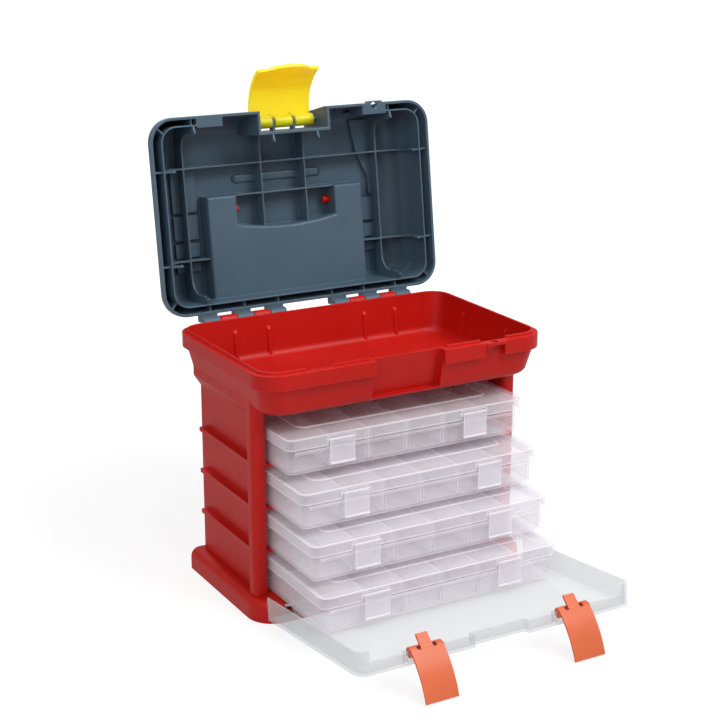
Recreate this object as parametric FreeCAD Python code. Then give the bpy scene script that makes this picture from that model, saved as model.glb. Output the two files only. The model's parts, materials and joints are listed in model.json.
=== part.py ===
import FreeCAD, Part
import math
import os

# A carry box for art and craft supplies: open bin with a hinged lid on top,
# a cabinet with a stack of clear organizer trays below, and a clear drop front.
# Frame: X to the right, the front faces -Y, Z up, origin at the middle of the base underside.
# Everything is in millimetres, in the pose with the lid open, the front dropped and the trays pulled out.

# Organizer trays, from the top one down
TRAY_PULLS = [17.0, 41.0, 59.0, 75.0]
TRAY_WIDTH = 231.4
TRAY_DEPTH = 123.0
TRAY_HEIGHT = 31.5
TRAY_WALL = 1.8
TRAY_LID_WALL = 1.6
TRAY_LID_SKIRT = 10.0
TRAY_LID_REACH = 3.2
TRAY_LID_LIFT = 0.3
TRAY_LID_CORNER = 8.0
TRAY_BOX_CORNER = 6.0
TRAY_SPACING = 7.0
TRAY_FRAME_INSET = 22.0
TRAY_FRAME_WIDTH = 2.0
TRAY_FRAME_HEIGHT = 0.8
TRAY_FRAME_CORNER = 9.0
DIVIDER_COUNT = 5
DIVIDER_THICK = 1.5
DIVIDER_TOP_GAP = 1.2
GUIDE_WIDTH = 1.4
GUIDE_PROUD = 2.2
DIVIDER_FIT = 0.2
CATCH_LIP = 1.7
CATCH_LIP_HEIGHT = 2.0
CATCH_LIP_DROP = 3.0

# Tray latches and tray lid hinges
TRAY_LATCH_X = 65.0
TRAY_LATCH_WIDTH = 23.4
TRAY_LATCH_THICK = 1.6
TRAY_LATCH_END = 5.0
TRAY_LATCH_PIN_RADIUS = 1.0
TRAY_LATCH_BARREL_RADIUS = 2.0
TRAY_LATCH_PIN_DROP = 5.5
TRAY_LATCH_PIN_INSET = 0.2
TRAY_LATCH_NOTCH_GAP = 0.4
TRAY_HINGE_X = 60.0
TRAY_HINGE_BARREL = 9.4
TRAY_HINGE_CHEEK = 3.0
TRAY_HINGE_PIN_RADIUS = 1.5
TRAY_HINGE_RADIUS = 3.0
TRAY_HINGE_BEHIND = 1.8
TRAY_HINGE_DROP = 7.5
TRAY_HINGE_SIDE_GAP = 1.8

# Fits
RUNNING_FIT = 0.05
SLIDE_FIT = 0.3
SIDE_GAP = 0.6

# Cabinet
TRAY_SIDE_GAP = 1.3
POST_WIDTH = 13.5
POST_DEPTH = 15.0
POST_ROUND = 5.5
POST_SETBACK = 19.5
PANEL_WALL = 3.0
PANEL_INSET = 6.5
PANEL_RIB_HEIGHT = 4.0
PANEL_RIB_PROUD = 6.0
PANEL_RIB_BACK_GAP = 8.0
PANEL_RIB_RISE = 2.0
FLARE_DROP = 9.4
FLARE_MIDDLE = 4.6
RUNNER_WIDTH = 15.0
RUNNER_THICK = 3.0
TOP_FLANGE_WIDTH = 16.0
TOP_FLANGE_THICK = 3.0
CABINET_BACK_GAP = 2.2
BACK_RIB_PROUD = 3.0

# Base
BASE_BACK_MARGIN = 6.5
BASE_MARGIN = 5.5
BASE_TOP = 19.2
BASE_EDGE = 12.0
BASE_ROUND_STEPS = 4
BASE_CORNER = 24.0
BASE_BACK_CORNER = 2.5
BASE_WALL = 3.0
BASE_RIB = 3.0
BASE_FRONT_BAND = 15.0
HINGE_BAY_INSET = 24.0
HINGE_BAY_DEPTH = 11.5
HINGE_BAY_FLOOR = 5.5
TRAY_FRONT_SETBACK = 3.5

# Top bin
BIN_OVERHANG = 7.5
BIN_DEPTH = 174.4
BIN_HEADROOM = 17.5
BIN_HEIGHT = 38.5
BIN_WALL = 2.4
BIN_RIM_HEIGHT = 13.0
BIN_RIM_PROUD = 4.0
BIN_TAPER = 3.5
BIN_ROUND = 9.0
BIN_ROUND_STEPS = 4
BIN_CORNER = 22.0
BIN_LIP_HEIGHT = 2.2
BIN_LIP_THICK = 2.4
BIN_RIB_PROUD = 3.0
BIN_RIB_WIDTH = 3.0
BIN_RIB_DROP = 7.5
BIN_SIDE_RIB_Y = 34.3
RECESS_HALF = 33.0
RECESS_TOP_DEPTH = 7.7
RECESS_BOTTOM_DEPTH = 15.2
RECESS_FOOT = 4.0

# Padlock eye, at the right only
PADLOCK_X = 83.6
PADLOCK_RADIUS = 3.2
PADLOCK_SETBACK = 2.0
EYE_HALF = 10.0
EYE_PROUD = 2.2
EYE_THICK = 3.0
BIN_EYE_HEIGHT = 3.0
EYE_POCKET_HEIGHT = 24.0
EYE_POCKET_DEPTH = 8.0

# Lid
LID_OPEN = 97.8
LID_SIDE_OVERHANG = 3.0
LID_EDGE_OVERHANG = 0.5
LID_HEIGHT = 49.0
LID_WALL = 2.5
LID_BAND = 6.0
LID_TAPER_HEIGHT = 24.0
LID_TAPER = 13.5
LID_FRONT_TAPER = 3.0
LID_BACK_TAPER = 6.1
LID_ROUND = 16.0
LID_BACK_ROUND = 8.0
LID_ROUND_STEPS = 6
LID_CORNER = 22.0
LID_TOP_CORNER = 8.0
LID_LIP_GAP = 0.7
LID_LIP_THICK = 1.4
LID_WEB_THICK = 1.6
LID_WEB_SETBACK = 3.0
LID_RIB_THICK = 1.6
LID_RIB_HEIGHT = 16.0
LID_RIB_CLIMB = 8.5
LID_RIB_ROUND = 14.0
LID_CROSS_RIB_Y = -41.0
LID_BACK_RIB_Y = 42.0
LID_UPRIGHT_RIB_X = 22.5
LID_SIDE_RIB_X = 99.5
LID_HINGE_WEB_X = [28.0, 62.0, 96.0]
LID_FRONT_WEB_X = 100.0
LATCH_NOTCH_HALF = 34.0
LATCH_NOTCH_DEPTH = 19.0

# Lid hinge
LID_HINGE_BEHIND = 7.4
LID_HINGE_RISE = -2.0
KNUCKLE_PITCH = 16.5
KNUCKLE_START = 33.0
KNUCKLE_GAP = 0.6
KNUCKLE_RADIUS = 5.0
KNUCKLE_ARM = 8.5
LID_PIN_RADIUS = 1.6

# Handle and its recess in the lid
RECESS_WIDTH = 160.0
RECESS_FRONT = -14.0
RECESS_BACK = 76.0
RECESS_DEPTH = 19.5
TONGUE_HALF = 50.5
TONGUE_END = 13.0
TONGUE_BULGE = 5.0
BOSS_ROUND = 3.0
HANDLE_PIVOT_Y = 0.0
HANDLE_PIVOT_DROP = 8.0
HANDLE_THICK = 10.0
HANDLE_ARM_WIDTH = 20.0
HANDLE_GRIP_DEPTH = 22.0
HANDLE_SIDE_GAP = 2.5
HANDLE_END_GAP = 4.5
HANDLE_ROUND = 3.5
HANDLE_STUB_RADIUS = 3.2
HANDLE_STUB_PROUD = 6.5

# Lid latch: a bowed plate on a barrel, its bow centred ahead of and below the pivot
LATCH_PIVOT_SETBACK = 11.1
LATCH_PIVOT_RISE = 25.8
LATCH_OPEN = 62.0
LATCH_PIN_RADIUS = 2.0
LATCH_BARREL_RADIUS = 5.6
LATCH_HALF = 30.8
LATCH_THICK = 3.0
LATCH_BOW_RADIUS = 45.0
LATCH_BOW_Y = 30.7
LATCH_BOW_DROP = 24.6
LATCH_BOW_START = 44.0
LATCH_PAD_START = -5.0
LATCH_EAR_ANGLE = -36.5
LATCH_TIP_ANGLE = -48.5
LATCH_PAD_PROUD = 0.8
LATCH_EAR_WIDTH = 7.8
LATCH_LUG_X = 10.3
LATCH_LUG_WIDTH = 2.8
LATCH_LUG_RADIUS = 3.6
LATCH_SLOT_RADIUS = 8.2

# Drop front
DOOR_RISE = 6.2
DOOR_HINGE_SETBACK = 3.5
DOOR_HINGE_HEIGHT = 14.0
DOOR_FACE_OFFSET = 7.0
DOOR_WALL = 1.8
DOOR_FLANGE = 20.0
DOOR_FOOT_GAP = 6.0
DOOR_LENGTH = 160.0
DOOR_SIDE_INSET = 0.5
DOOR_CORNER = 10.0
DOOR_TOP_FLANGE = 11.0
DOOR_DIP_HALF = 25.0
DOOR_DIP = 5.0
DOOR_KNUCKLE_X = [30.0, 94.0]
DOOR_KNUCKLE_WIDTH = 20.0
DOOR_KNUCKLE_RADIUS = 4.0
DOOR_ARM_REACH = 2.5
DOOR_PIN_RADIUS = 1.6
DOOR_PIN_SOCKET = 4.0
DOOR_LUG_X = [-62.0, 0.0, 62.0]
DOOR_LUG_WIDTH = 6.0
DOOR_LUG_RADIUS = 3.6

# Drop front latches
CLIP_X = 70.0
CLIP_WIDTH = 29.5
CLIP_SLOT_GAP = 1.2
CLIP_BAR_RADIUS = 1.5
CLIP_BAR_OFFSET = 9.5
CLIP_BAR_SETBACK = 2.0
CLIP_HOOK_RADIUS = 4.4
CLIP_HOOK_WIDTH = 9.0
CLIP_PLATE_GAP = 2.0
CLIP_PLATE_THICK = 2.4
CLIP_LENGTH = 41.5
CLIP_BULGE = 3.0
CLIP_SLANT = 55.0
CLIP_TAB_HALF = 5.2
CLIP_TAB_LENGTH = 12.0
CLIP_TAB_TURN = 12.0
CLIP_NOTCH_RADIUS = 1.9
CLIP_WINDOW_GAP = 2.0

# Screws
SCREW_RADIUS = 1.55
SCREW_HEAD_RADIUS = 3.5
SCREW_HEAD_HEIGHT = 2.2
SCREW_LENGTH = 12.0
SCREW_BOSS_RADIUS = 5.0
SCREW_HOLE_RADIUS = 1.8
SCREW_BACK_INSET = 50.0
SCREW_SEAT_DEPTH = 4.0

# Places worked out from the sizes above
TRAY_COUNT = len(TRAY_PULLS)
TRAY_PITCH = TRAY_HEIGHT + TRAY_SPACING
TRAY_HALF = TRAY_WIDTH / 2
BOX_HALF = TRAY_HALF - TRAY_LID_REACH
POST_INNER = TRAY_HALF + TRAY_SIDE_GAP
POST_OUTER = POST_INNER + POST_WIDTH
PANEL_OUTER = POST_OUTER - PANEL_INSET
PANEL_INNER = PANEL_OUTER - PANEL_WALL
BASE_HALF = POST_OUTER + BASE_MARGIN
BASE_ROUND = BASE_TOP - BASE_EDGE
TRAY_REACH = TRAY_DEPTH + TRAY_HINGE_BEHIND + TRAY_HINGE_RADIUS
CABINET_DEPTH = TRAY_FRONT_SETBACK + TRAY_REACH + CABINET_BACK_GAP + PANEL_WALL
BASE_DEPTH = CABINET_DEPTH + BASE_BACK_MARGIN
BASE_FRONT = -BASE_DEPTH / 2
BASE_BACK = BASE_DEPTH / 2
POST_FRONT = BASE_FRONT + POST_SETBACK
POST_BACK = POST_FRONT + POST_DEPTH
TRAY_IN_FRONT = BASE_FRONT + TRAY_FRONT_SETBACK
BACK_OUTER = BASE_FRONT + CABINET_DEPTH
BACK_INNER = BACK_OUTER - PANEL_WALL
POST_SCREW_Y = (POST_FRONT + POST_BACK) / 2
SCREW_SPAN_Y = [POST_SCREW_Y, BACK_INNER - SCREW_BACK_INSET]
TRAY_FLOORS = [BASE_TOP + SLIDE_FIT + TRAY_PITCH * (TRAY_COUNT - 1 - i) for i in range(TRAY_COUNT)]
BIN_BOTTOM = TRAY_FLOORS[0] + TRAY_HEIGHT + BIN_HEADROOM
BIN_SHELF = BIN_BOTTOM + BIN_HEIGHT
BIN_RIM_FOOT = BIN_SHELF - BIN_RIM_HEIGHT
BIN_LIP_TOP = BIN_SHELF + BIN_LIP_HEIGHT
BIN_HALF = POST_OUTER + BIN_OVERHANG
BIN_REACH = BIN_DEPTH / 2
BIN_INNER_HALF = BIN_HALF - BIN_RIM_PROUD - BIN_WALL
BIN_INNER_REACH = BIN_REACH - BIN_RIM_PROUD - BIN_WALL
PADLOCK_Y = -BIN_REACH + PADLOCK_SETBACK
EYE_FRONT = -BIN_REACH - EYE_PROUD
LID_RIM = BIN_SHELF + SLIDE_FIT
LID_TOP = LID_RIM + LID_HEIGHT
LID_HALF = BIN_HALF + LID_SIDE_OVERHANG
LID_REACH = BIN_REACH + LID_EDGE_OVERHANG
LID_LIP_HALF = BIN_INNER_HALF - LID_LIP_GAP
LID_LIP_REACH = BIN_INNER_REACH - LID_LIP_GAP
LID_CEILING = LID_TOP - LID_WALL
LID_HINGE_Y = BIN_REACH + LID_HINGE_BEHIND
LID_HINGE_Z = BIN_SHELF + LID_HINGE_RISE
NOTCH_BACK = -LID_REACH + LATCH_NOTCH_DEPTH
LATCH_PIVOT_Y = -LID_REACH + LATCH_PIVOT_SETBACK
LATCH_PIVOT_Z = LID_RIM + LATCH_PIVOT_RISE
RECESS_FLOOR = LID_TOP - RECESS_DEPTH
HANDLE_PIVOT_Z = LID_TOP - HANDLE_PIVOT_DROP
HANDLE_HANG = LID_OPEN - 90.0
DOOR_HALF = POST_OUTER - DOOR_SIDE_INSET
DOOR_HINGE_Y = BASE_FRONT + DOOR_HINGE_SETBACK
DOOR_FACE = DOOR_HINGE_Y - DOOR_FACE_OFFSET
DOOR_FOOT = DOOR_HINGE_HEIGHT + DOOR_FOOT_GAP
DOOR_HEAD = DOOR_HINGE_HEIGHT + DOOR_LENGTH
DOOR_SWING = 90.0 - DOOR_RISE
CLIP_BAR_Y = DOOR_FACE + CLIP_BAR_OFFSET
CLIP_BAR_Z = DOOR_HEAD - CLIP_BAR_SETBACK
CLIP_SLOT_HALF = CLIP_WIDTH / 2 + CLIP_SLOT_GAP
HINGE_BAY_HALF = BASE_HALF - HINGE_BAY_INSET
HINGE_BAY_BACK = BASE_FRONT + HINGE_BAY_DEPTH


def vector(x, y, z):
    return FreeCAD.Vector(x, y, z)


def block(x0, x1, y0, y1, z0, z1):
    """A box between two corners."""
    return Part.makeBox(x1 - x0, y1 - y0, z1 - z0, vector(x0, y0, z0))


def rod_x(x0, x1, y, z, radius):
    """A round rod along X."""
    return Part.makeCylinder(radius, x1 - x0, vector(x0, y, z), vector(1, 0, 0))


def rod_z(x, y, z0, z1, radius):
    """A round rod along Z."""
    return Part.makeCylinder(radius, z1 - z0, vector(x, y, z0), vector(0, 0, 1))


def outline(half_x, y0, y1, z, radius, back_radius=None):
    """A rounded rectangle, level, as a closed wire of four lines and four arcs."""
    edges = []
    rear = back_radius or radius
    corners = [(half_x, y1, 0, rear), (-half_x, y1, 90, rear),
               (-half_x, y0, 180, radius), (half_x, y0, 270, radius)]
    ends = []
    for x, y, start, bend in corners:
        cx = x - math.copysign(bend, x)
        cy = y - bend if y == y1 else y + bend
        points = []
        for step in (0, 45, 90):
            angle = math.radians(start + step)
            points.append(vector(cx + bend * math.cos(angle), cy + bend * math.sin(angle), z))
        ends.append(points)
    for index, points in enumerate(ends):
        edges.append(Part.Arc(*points).toShape())
        edges.append(Part.LineSegment(points[2], ends[(index + 1) % 4][0]).toShape())
    return Part.Wire(edges)


def slab(half_x, y0, y1, z0, z1, radius, back_radius=None):
    """An upright block with rounded corners."""
    return Part.Face(outline(half_x, y0, y1, z0, radius, back_radius)).extrude(vector(0, 0, z1 - z0))


def taper(wires):
    """A solid with flat-ruled sides through level wires."""
    return Part.makeLoft(wires, True, True)


def prism_x(x0, x1, points):
    """A polygon of (y, z) points, drawn out along X."""
    corners = [vector(x0, y, z) for y, z in points]
    return Part.Face(Part.makePolygon(corners + corners[:1])).extrude(vector(x1 - x0, 0, 0))


def joined(shapes):
    return shapes[0].fuse(shapes[1:]).removeSplitter()


def without(shape, cutters):
    return shape.cut(cutters).removeSplitter()


def mirrored(shape):
    """The same piece on the other side of the middle plane."""
    return shape.mirror(vector(0, 0, 0), vector(1, 0, 0))


def turned(shape, y, z, degrees):
    """A copy of a piece, turned about a line along X."""
    copy = shape.copy()
    copy.rotate(vector(0, y, z), vector(1, 0, 0), degrees)
    return copy


def both_sides(x0, x1):
    """The same stretch of X on the right and on the left."""
    return [(x0, x1), (-x1, -x0)]


def save(name, shape):
    shape.exportStep(os.path.join("parts", name + ".step"))


def knuckle_stretches(first):
    """X stretches of every second hinge knuckle, on both sides of the middle."""
    half = (KNUCKLE_PITCH - KNUCKLE_GAP) / 2
    stretches = []
    for index in range(first, 5, 2):
        centre = KNUCKLE_START + KNUCKLE_PITCH * index
        stretches += both_sides(centre - half, centre + half)
    return stretches


def screw_places():
    """Where the screws stand that hold the side panels, seen from above."""
    x = (POST_INNER + POST_OUTER) / 2
    inner_x = PANEL_INNER - TOP_FLANGE_WIDTH / 2
    return x, inner_x


def eye_tab(back, z0, z1):
    """The tab of a padlock eye: it stands proud of the rim with slanted ends."""
    x0 = PADLOCK_X - EYE_HALF
    x1 = PADLOCK_X + EYE_HALF
    corners = [(x0, back), (x0, -BIN_REACH), (x0 + EYE_PROUD, EYE_FRONT),
               (x1 - EYE_PROUD, EYE_FRONT), (x1, -BIN_REACH), (x1, back)]
    points = [vector(x, y, z0) for x, y in corners]
    return Part.Face(Part.makePolygon(points + points[:1])).extrude(vector(0, 0, z1 - z0))


def bin_form(wall, top):
    """The bin's rounded foot and leaning sides up to a height, drawn in by a wall."""
    half = BIN_HALF - BIN_RIM_PROUD - wall
    reach = BIN_REACH - BIN_RIM_PROUD - wall
    corner = BIN_CORNER - BIN_RIM_PROUD - wall
    radius = BIN_ROUND - wall
    wires = []
    for step in range(BIN_ROUND_STEPS + 1):
        angle = math.radians(90 * step / BIN_ROUND_STEPS)
        lean = BIN_TAPER + radius * (1 - math.sin(angle))
        z = BIN_BOTTOM + wall + radius * (1 - math.cos(angle))
        wires.append(outline(half - lean, -reach + lean, reach - lean, z, corner))
    wires.append(outline(half, -reach, reach, top, corner))
    return taper(wires)


def bin_ribs(body):
    """Upright ribs inside the bin, behind the hinge knuckles and on the side walls."""
    half = BIN_RIB_WIDTH / 2
    top = BIN_SHELF - BIN_RIB_DROP
    foot = BIN_BOTTOM + BIN_WALL / 2

    def profile(inner):
        return [
            (inner - BIN_TAPER - BIN_RIB_PROUD, foot),
            (inner - BIN_RIB_PROUD, top - BIN_RIB_PROUD),
            (inner, top),
            (inner + BIN_WALL, top),
            (inner + BIN_WALL, foot),
        ]

    ribs = []
    for x0, x1 in knuckle_stretches(1):
        x = (x0 + x1) / 2
        ribs.append(prism_x(x - half, x + half, profile(BIN_INNER_REACH)))
    for y in (-BIN_SIDE_RIB_Y, BIN_SIDE_RIB_Y):
        side = prism_x(y - half, y + half, profile(BIN_INNER_HALF))
        side.rotate(vector(0, 0, 0), vector(0, 0, 1), 90)
        ribs += [side, mirrored(side)]
    return [rib.common(body) for rib in ribs]


def make_bin():
    """The open bin: rounded walls, rim band, inner lip, latch recess, hinge knuckles and padlock eye."""
    walls = bin_form(0, BIN_RIM_FOOT)
    rim = slab(BIN_HALF, -BIN_REACH, BIN_REACH, BIN_RIM_FOOT, BIN_SHELF, BIN_CORNER)
    inner_corner = BIN_CORNER - BIN_RIM_PROUD - BIN_WALL
    lip_reach = BIN_INNER_REACH + BIN_LIP_THICK
    lip = slab(BIN_INNER_HALF + BIN_LIP_THICK, -lip_reach, lip_reach, BIN_SHELF, BIN_LIP_TOP,
               inner_corner + BIN_LIP_THICK)
    above = BIN_LIP_TOP + BIN_WALL
    cavity_top = slab(BIN_INNER_HALF, -BIN_INNER_REACH, BIN_INNER_REACH, BIN_SHELF, above, inner_corner)
    cavity = bin_form(BIN_WALL, BIN_SHELF).fuse(cavity_top)
    body = walls.fuse(rim)
    full = joined([walls, rim, lip])

    # Inside pad that backs the latch recess
    recess_foot = BIN_BOTTOM + RECESS_FOOT
    recess_low = -BIN_REACH + RECESS_BOTTOM_DEPTH
    recess_high = -BIN_REACH + RECESS_TOP_DEPTH
    outside = -BIN_REACH - BIN_WALL
    pad_foot = BIN_BOTTOM + BIN_WALL / 2
    pad = prism_x(-RECESS_HALF - BIN_WALL, RECESS_HALF + BIN_WALL, [
        (recess_low + BIN_WALL, pad_foot),
        (recess_high + BIN_WALL, BIN_SHELF),
        (outside, BIN_SHELF),
        (outside, pad_foot),
    ]).common(body)
    recess = prism_x(-RECESS_HALF, RECESS_HALF, [
        (recess_low, recess_foot),
        (recess_high, BIN_SHELF),
        (recess_high, above),
        (outside, above),
        (outside, recess_foot),
    ])

    # Knuckles of the lid hinge
    knuckles = []
    for x0, x1 in knuckle_stretches(1):
        knuckles.append(rod_x(x0, x1, LID_HINGE_Y, LID_HINGE_Z, KNUCKLE_RADIUS))
        knuckles.append(block(x0, x1, BIN_REACH - BIN_WALL / 2, LID_HINGE_Y,
                              BIN_SHELF - KNUCKLE_ARM, BIN_SHELF - SLIDE_FIT))
    pin_hole = rod_x(-BIN_HALF, BIN_HALF, LID_HINGE_Y, LID_HINGE_Z, LID_PIN_RADIUS + RUNNING_FIT / 2)

    # Padlock eye: a holed tab on the rim, with the rim cleared below it
    eye_back = PADLOCK_Y + PADLOCK_RADIUS + SLIDE_FIT
    eye_foot = BIN_SHELF - BIN_EYE_HEIGHT
    eye_x0 = PADLOCK_X - EYE_HALF
    eye_x1 = PADLOCK_X + EYE_HALF
    eye = eye_tab(-BIN_INNER_REACH, eye_foot, BIN_SHELF)
    eye_pocket = block(eye_x0, eye_x1, EYE_FRONT, eye_back, BIN_BOTTOM, eye_foot)
    eye_hole = rod_z(PADLOCK_X, PADLOCK_Y, eye_foot - BIN_WALL, above, PADLOCK_RADIUS)

    # Gaps in the lip for the lid's latch notch and its two rim blocks
    gap_back = -BIN_INNER_REACH + SIDE_GAP / 2
    notch_reach = LATCH_NOTCH_HALF + LID_WALL + SIDE_GAP
    gaps = [block(-notch_reach, notch_reach, -BIN_REACH, gap_back, BIN_SHELF, above)]
    block_reach = EYE_HALF + LID_WALL + SIDE_GAP
    for x0, x1 in both_sides(PADLOCK_X - block_reach, PADLOCK_X + block_reach):
        gaps.append(block(x0, x1, -BIN_REACH, gap_back, BIN_SHELF, above))

    # Holes in the floor for the screws into the side panels
    _, flange_x = screw_places()
    hole_top = BIN_BOTTOM + BIN_WALL + SCREW_HEAD_HEIGHT
    floor_holes = []
    for x in (-flange_x, flange_x):
        for y in SCREW_SPAN_Y:
            floor_holes.append(rod_z(x, y, BIN_BOTTOM - BIN_WALL, hole_top, SCREW_HOLE_RADIUS))

    shell = joined([full.cut(cavity), pad] + bin_ribs(body) + knuckles)
    shell = without(shell, [recess, pin_hole, eye_pocket] + gaps + floor_holes)
    return without(joined([shell, eye]), [eye_hole])


def make_side_panel():
    """The right side panel: sheet, front post, outer ribs, tray runners and the flange under the bin."""
    top = BIN_BOTTOM + BIN_ROUND
    sheet = block(PANEL_INNER, PANEL_OUTER, POST_FRONT + POST_ROUND, BACK_OUTER, BASE_TOP, top)
    post = block(POST_INNER, POST_OUTER, POST_FRONT, POST_BACK, BASE_TOP, top)
    upright = [edge for edge in post.Edges if abs(edge.tangentAt(edge.FirstParameter).z) > 0.9]
    post = post.makeFillet(POST_ROUND, upright)
    flare = prism_x(POST_BACK - POST_ROUND, BACK_OUTER, [
        (-PANEL_INNER, BIN_BOTTOM - FLARE_DROP),
        (-PANEL_OUTER, BIN_BOTTOM - FLARE_DROP),
        (-(PANEL_OUTER + POST_OUTER) / 2, BIN_BOTTOM - FLARE_MIDDLE),
        (-POST_OUTER, BIN_BOTTOM + SIDE_GAP),
        (-POST_OUTER, top),
        (-PANEL_INNER, top),
    ])
    flare.rotate(vector(0, 0, 0), vector(0, 0, 1), 90)
    pieces = [sheet, post, flare]
    for floor in TRAY_FLOORS[:-1]:
        seat = floor - SLIDE_FIT
        rib_foot = seat - PANEL_RIB_HEIGHT / 2 + PANEL_RIB_RISE
        pieces.append(block(PANEL_INNER, PANEL_OUTER + PANEL_RIB_PROUD, POST_BACK - POST_ROUND,
                            BACK_OUTER - PANEL_RIB_BACK_GAP, rib_foot, rib_foot + PANEL_RIB_HEIGHT))
        pieces.append(block(PANEL_INNER - RUNNER_WIDTH, PANEL_INNER + PANEL_WALL / 2,
                            POST_FRONT + POST_ROUND, BACK_INNER, seat - RUNNER_THICK, seat))
    pieces.append(block(PANEL_INNER - TOP_FLANGE_WIDTH, PANEL_INNER + PANEL_WALL / 2, POST_FRONT + POST_ROUND,
                        BACK_INNER, BIN_BOTTOM - TOP_FLANGE_THICK, BIN_BOTTOM))
    post_x, flange_x = screw_places()
    holes = []
    for y in SCREW_SPAN_Y:
        holes.append(rod_z(flange_x, y, BIN_BOTTOM - 2 * TOP_FLANGE_THICK, BIN_BOTTOM + TOP_FLANGE_THICK,
                           SCREW_RADIUS + RUNNING_FIT))
    holes.append(rod_z(post_x, POST_SCREW_Y, BASE_TOP - BASE_WALL, BASE_TOP + SCREW_LENGTH,
                       SCREW_RADIUS + RUNNING_FIT))
    return without(joined(pieces), [bin_form(0, BIN_RIM_FOOT)] + holes)


def make_back_panel():
    """The back sheet between the side panels, with ribs at the heights of the runners."""
    pieces = [block(-PANEL_INNER, PANEL_INNER, BACK_INNER, BACK_OUTER, BASE_TOP, BIN_BOTTOM)]
    for floor in TRAY_FLOORS[:-1]:
        foot = floor - SLIDE_FIT - PANEL_RIB_HEIGHT / 2 + PANEL_RIB_RISE
        pieces.append(block(-PANEL_INNER, PANEL_INNER, BACK_INNER + PANEL_WALL / 2,
                            BACK_OUTER + BACK_RIB_PROUD, foot, foot + PANEL_RIB_HEIGHT))
    return joined(pieces)


def make_base():
    """The foot with rounded shoulders: open below, with a long rib, a door hinge bay and screw bosses."""

    def level(inset, z):
        return outline(BASE_HALF - inset, BASE_FRONT + inset, BASE_BACK, z, BASE_CORNER - inset,
                       BASE_BACK_CORNER)

    wires = [level(0, 0)]
    for step in range(BASE_ROUND_STEPS + 1):
        angle = math.radians(90 * step / BASE_ROUND_STEPS)
        wires.append(level(BASE_ROUND * (1 - math.cos(angle)), BASE_EDGE + BASE_ROUND * math.sin(angle)))
    cell_inset = BASE_WALL + BASE_ROUND / 2
    cell_top = BASE_TOP - BASE_WALL
    cells = slab(BASE_HALF - cell_inset, BASE_FRONT + BASE_FRONT_BAND, BASE_BACK - BASE_WALL, 0, cell_top,
                 BASE_CORNER - cell_inset, BASE_BACK_CORNER)
    rib = block(-BASE_HALF + BASE_WALL, BASE_HALF - BASE_WALL, -BASE_RIB / 2, BASE_RIB / 2, 0, cell_top)
    bay = block(-HINGE_BAY_HALF, HINGE_BAY_HALF, BASE_FRONT - BASE_WALL, HINGE_BAY_BACK,
                HINGE_BAY_FLOOR, BASE_TOP + BASE_WALL)
    lugs = []
    for x in DOOR_LUG_X:
        x0 = x - DOOR_LUG_WIDTH / 2
        x1 = x + DOOR_LUG_WIDTH / 2
        lugs.append(rod_x(x0, x1, DOOR_HINGE_Y, DOOR_HINGE_HEIGHT, DOOR_LUG_RADIUS))
        lugs.append(block(x0, x1, DOOR_HINGE_Y, HINGE_BAY_BACK + BASE_WALL, HINGE_BAY_FLOOR,
                          DOOR_HINGE_HEIGHT + DOOR_LUG_RADIUS))
    pin_reach = HINGE_BAY_HALF + DOOR_PIN_SOCKET
    pin_hole = rod_x(-pin_reach, pin_reach, DOOR_HINGE_Y, DOOR_HINGE_HEIGHT,
                     DOOR_PIN_RADIUS + RUNNING_FIT / 2)
    post_x, _ = screw_places()
    bosses = []
    holes = []
    for x in (-post_x, post_x):
        bosses.append(rod_z(x, POST_SCREW_Y, SCREW_HEAD_HEIGHT, cell_top, SCREW_BOSS_RADIUS))
        holes.append(rod_z(x, POST_SCREW_Y, 0, BASE_TOP + BASE_WALL, SCREW_HOLE_RADIUS))
        holes.append(rod_z(x, POST_SCREW_Y, 0, cell_top - SCREW_SEAT_DEPTH, SCREW_HEAD_RADIUS + SLIDE_FIT))
    shell = joined([taper(wires).cut(cells), rib] + bosses)
    shell = without(shell, [bay])
    return without(joined([shell] + lugs), [pin_hole] + holes)


def make_screws():
    """Screws down through the bin floor, and up through the base into the posts."""
    post_x, flange_x = screw_places()
    seat = BIN_BOTTOM + BIN_WALL
    bin_screws = []
    base_screws = []
    head_seat = BASE_TOP - BASE_WALL - SCREW_SEAT_DEPTH
    for side in (-1, 1):
        for y in SCREW_SPAN_Y:
            shank = rod_z(side * flange_x, y, seat - BIN_WALL - TOP_FLANGE_THICK, seat, SCREW_RADIUS)
            head = rod_z(side * flange_x, y, seat, seat + SCREW_HEAD_HEIGHT, SCREW_HEAD_RADIUS)
            bin_screws.append(joined([shank, head]))
        x = side * post_x
        shank = rod_z(x, POST_SCREW_Y, head_seat, BASE_TOP + SCREW_LENGTH - SLIDE_FIT, SCREW_RADIUS)
        head = rod_z(x, POST_SCREW_Y, head_seat - SCREW_HEAD_HEIGHT, head_seat, SCREW_HEAD_RADIUS)
        base_screws.append(joined([shank, head]))
    return bin_screws, base_screws


def make_lid_pins():
    """The two rods of the lid hinge."""
    x0 = KNUCKLE_START - KNUCKLE_PITCH / 2
    x1 = KNUCKLE_START + KNUCKLE_PITCH * 4.5
    return [rod_x(start, end, LID_HINGE_Y, LID_HINGE_Z, LID_PIN_RADIUS) for start, end in both_sides(x0, x1)]


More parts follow.
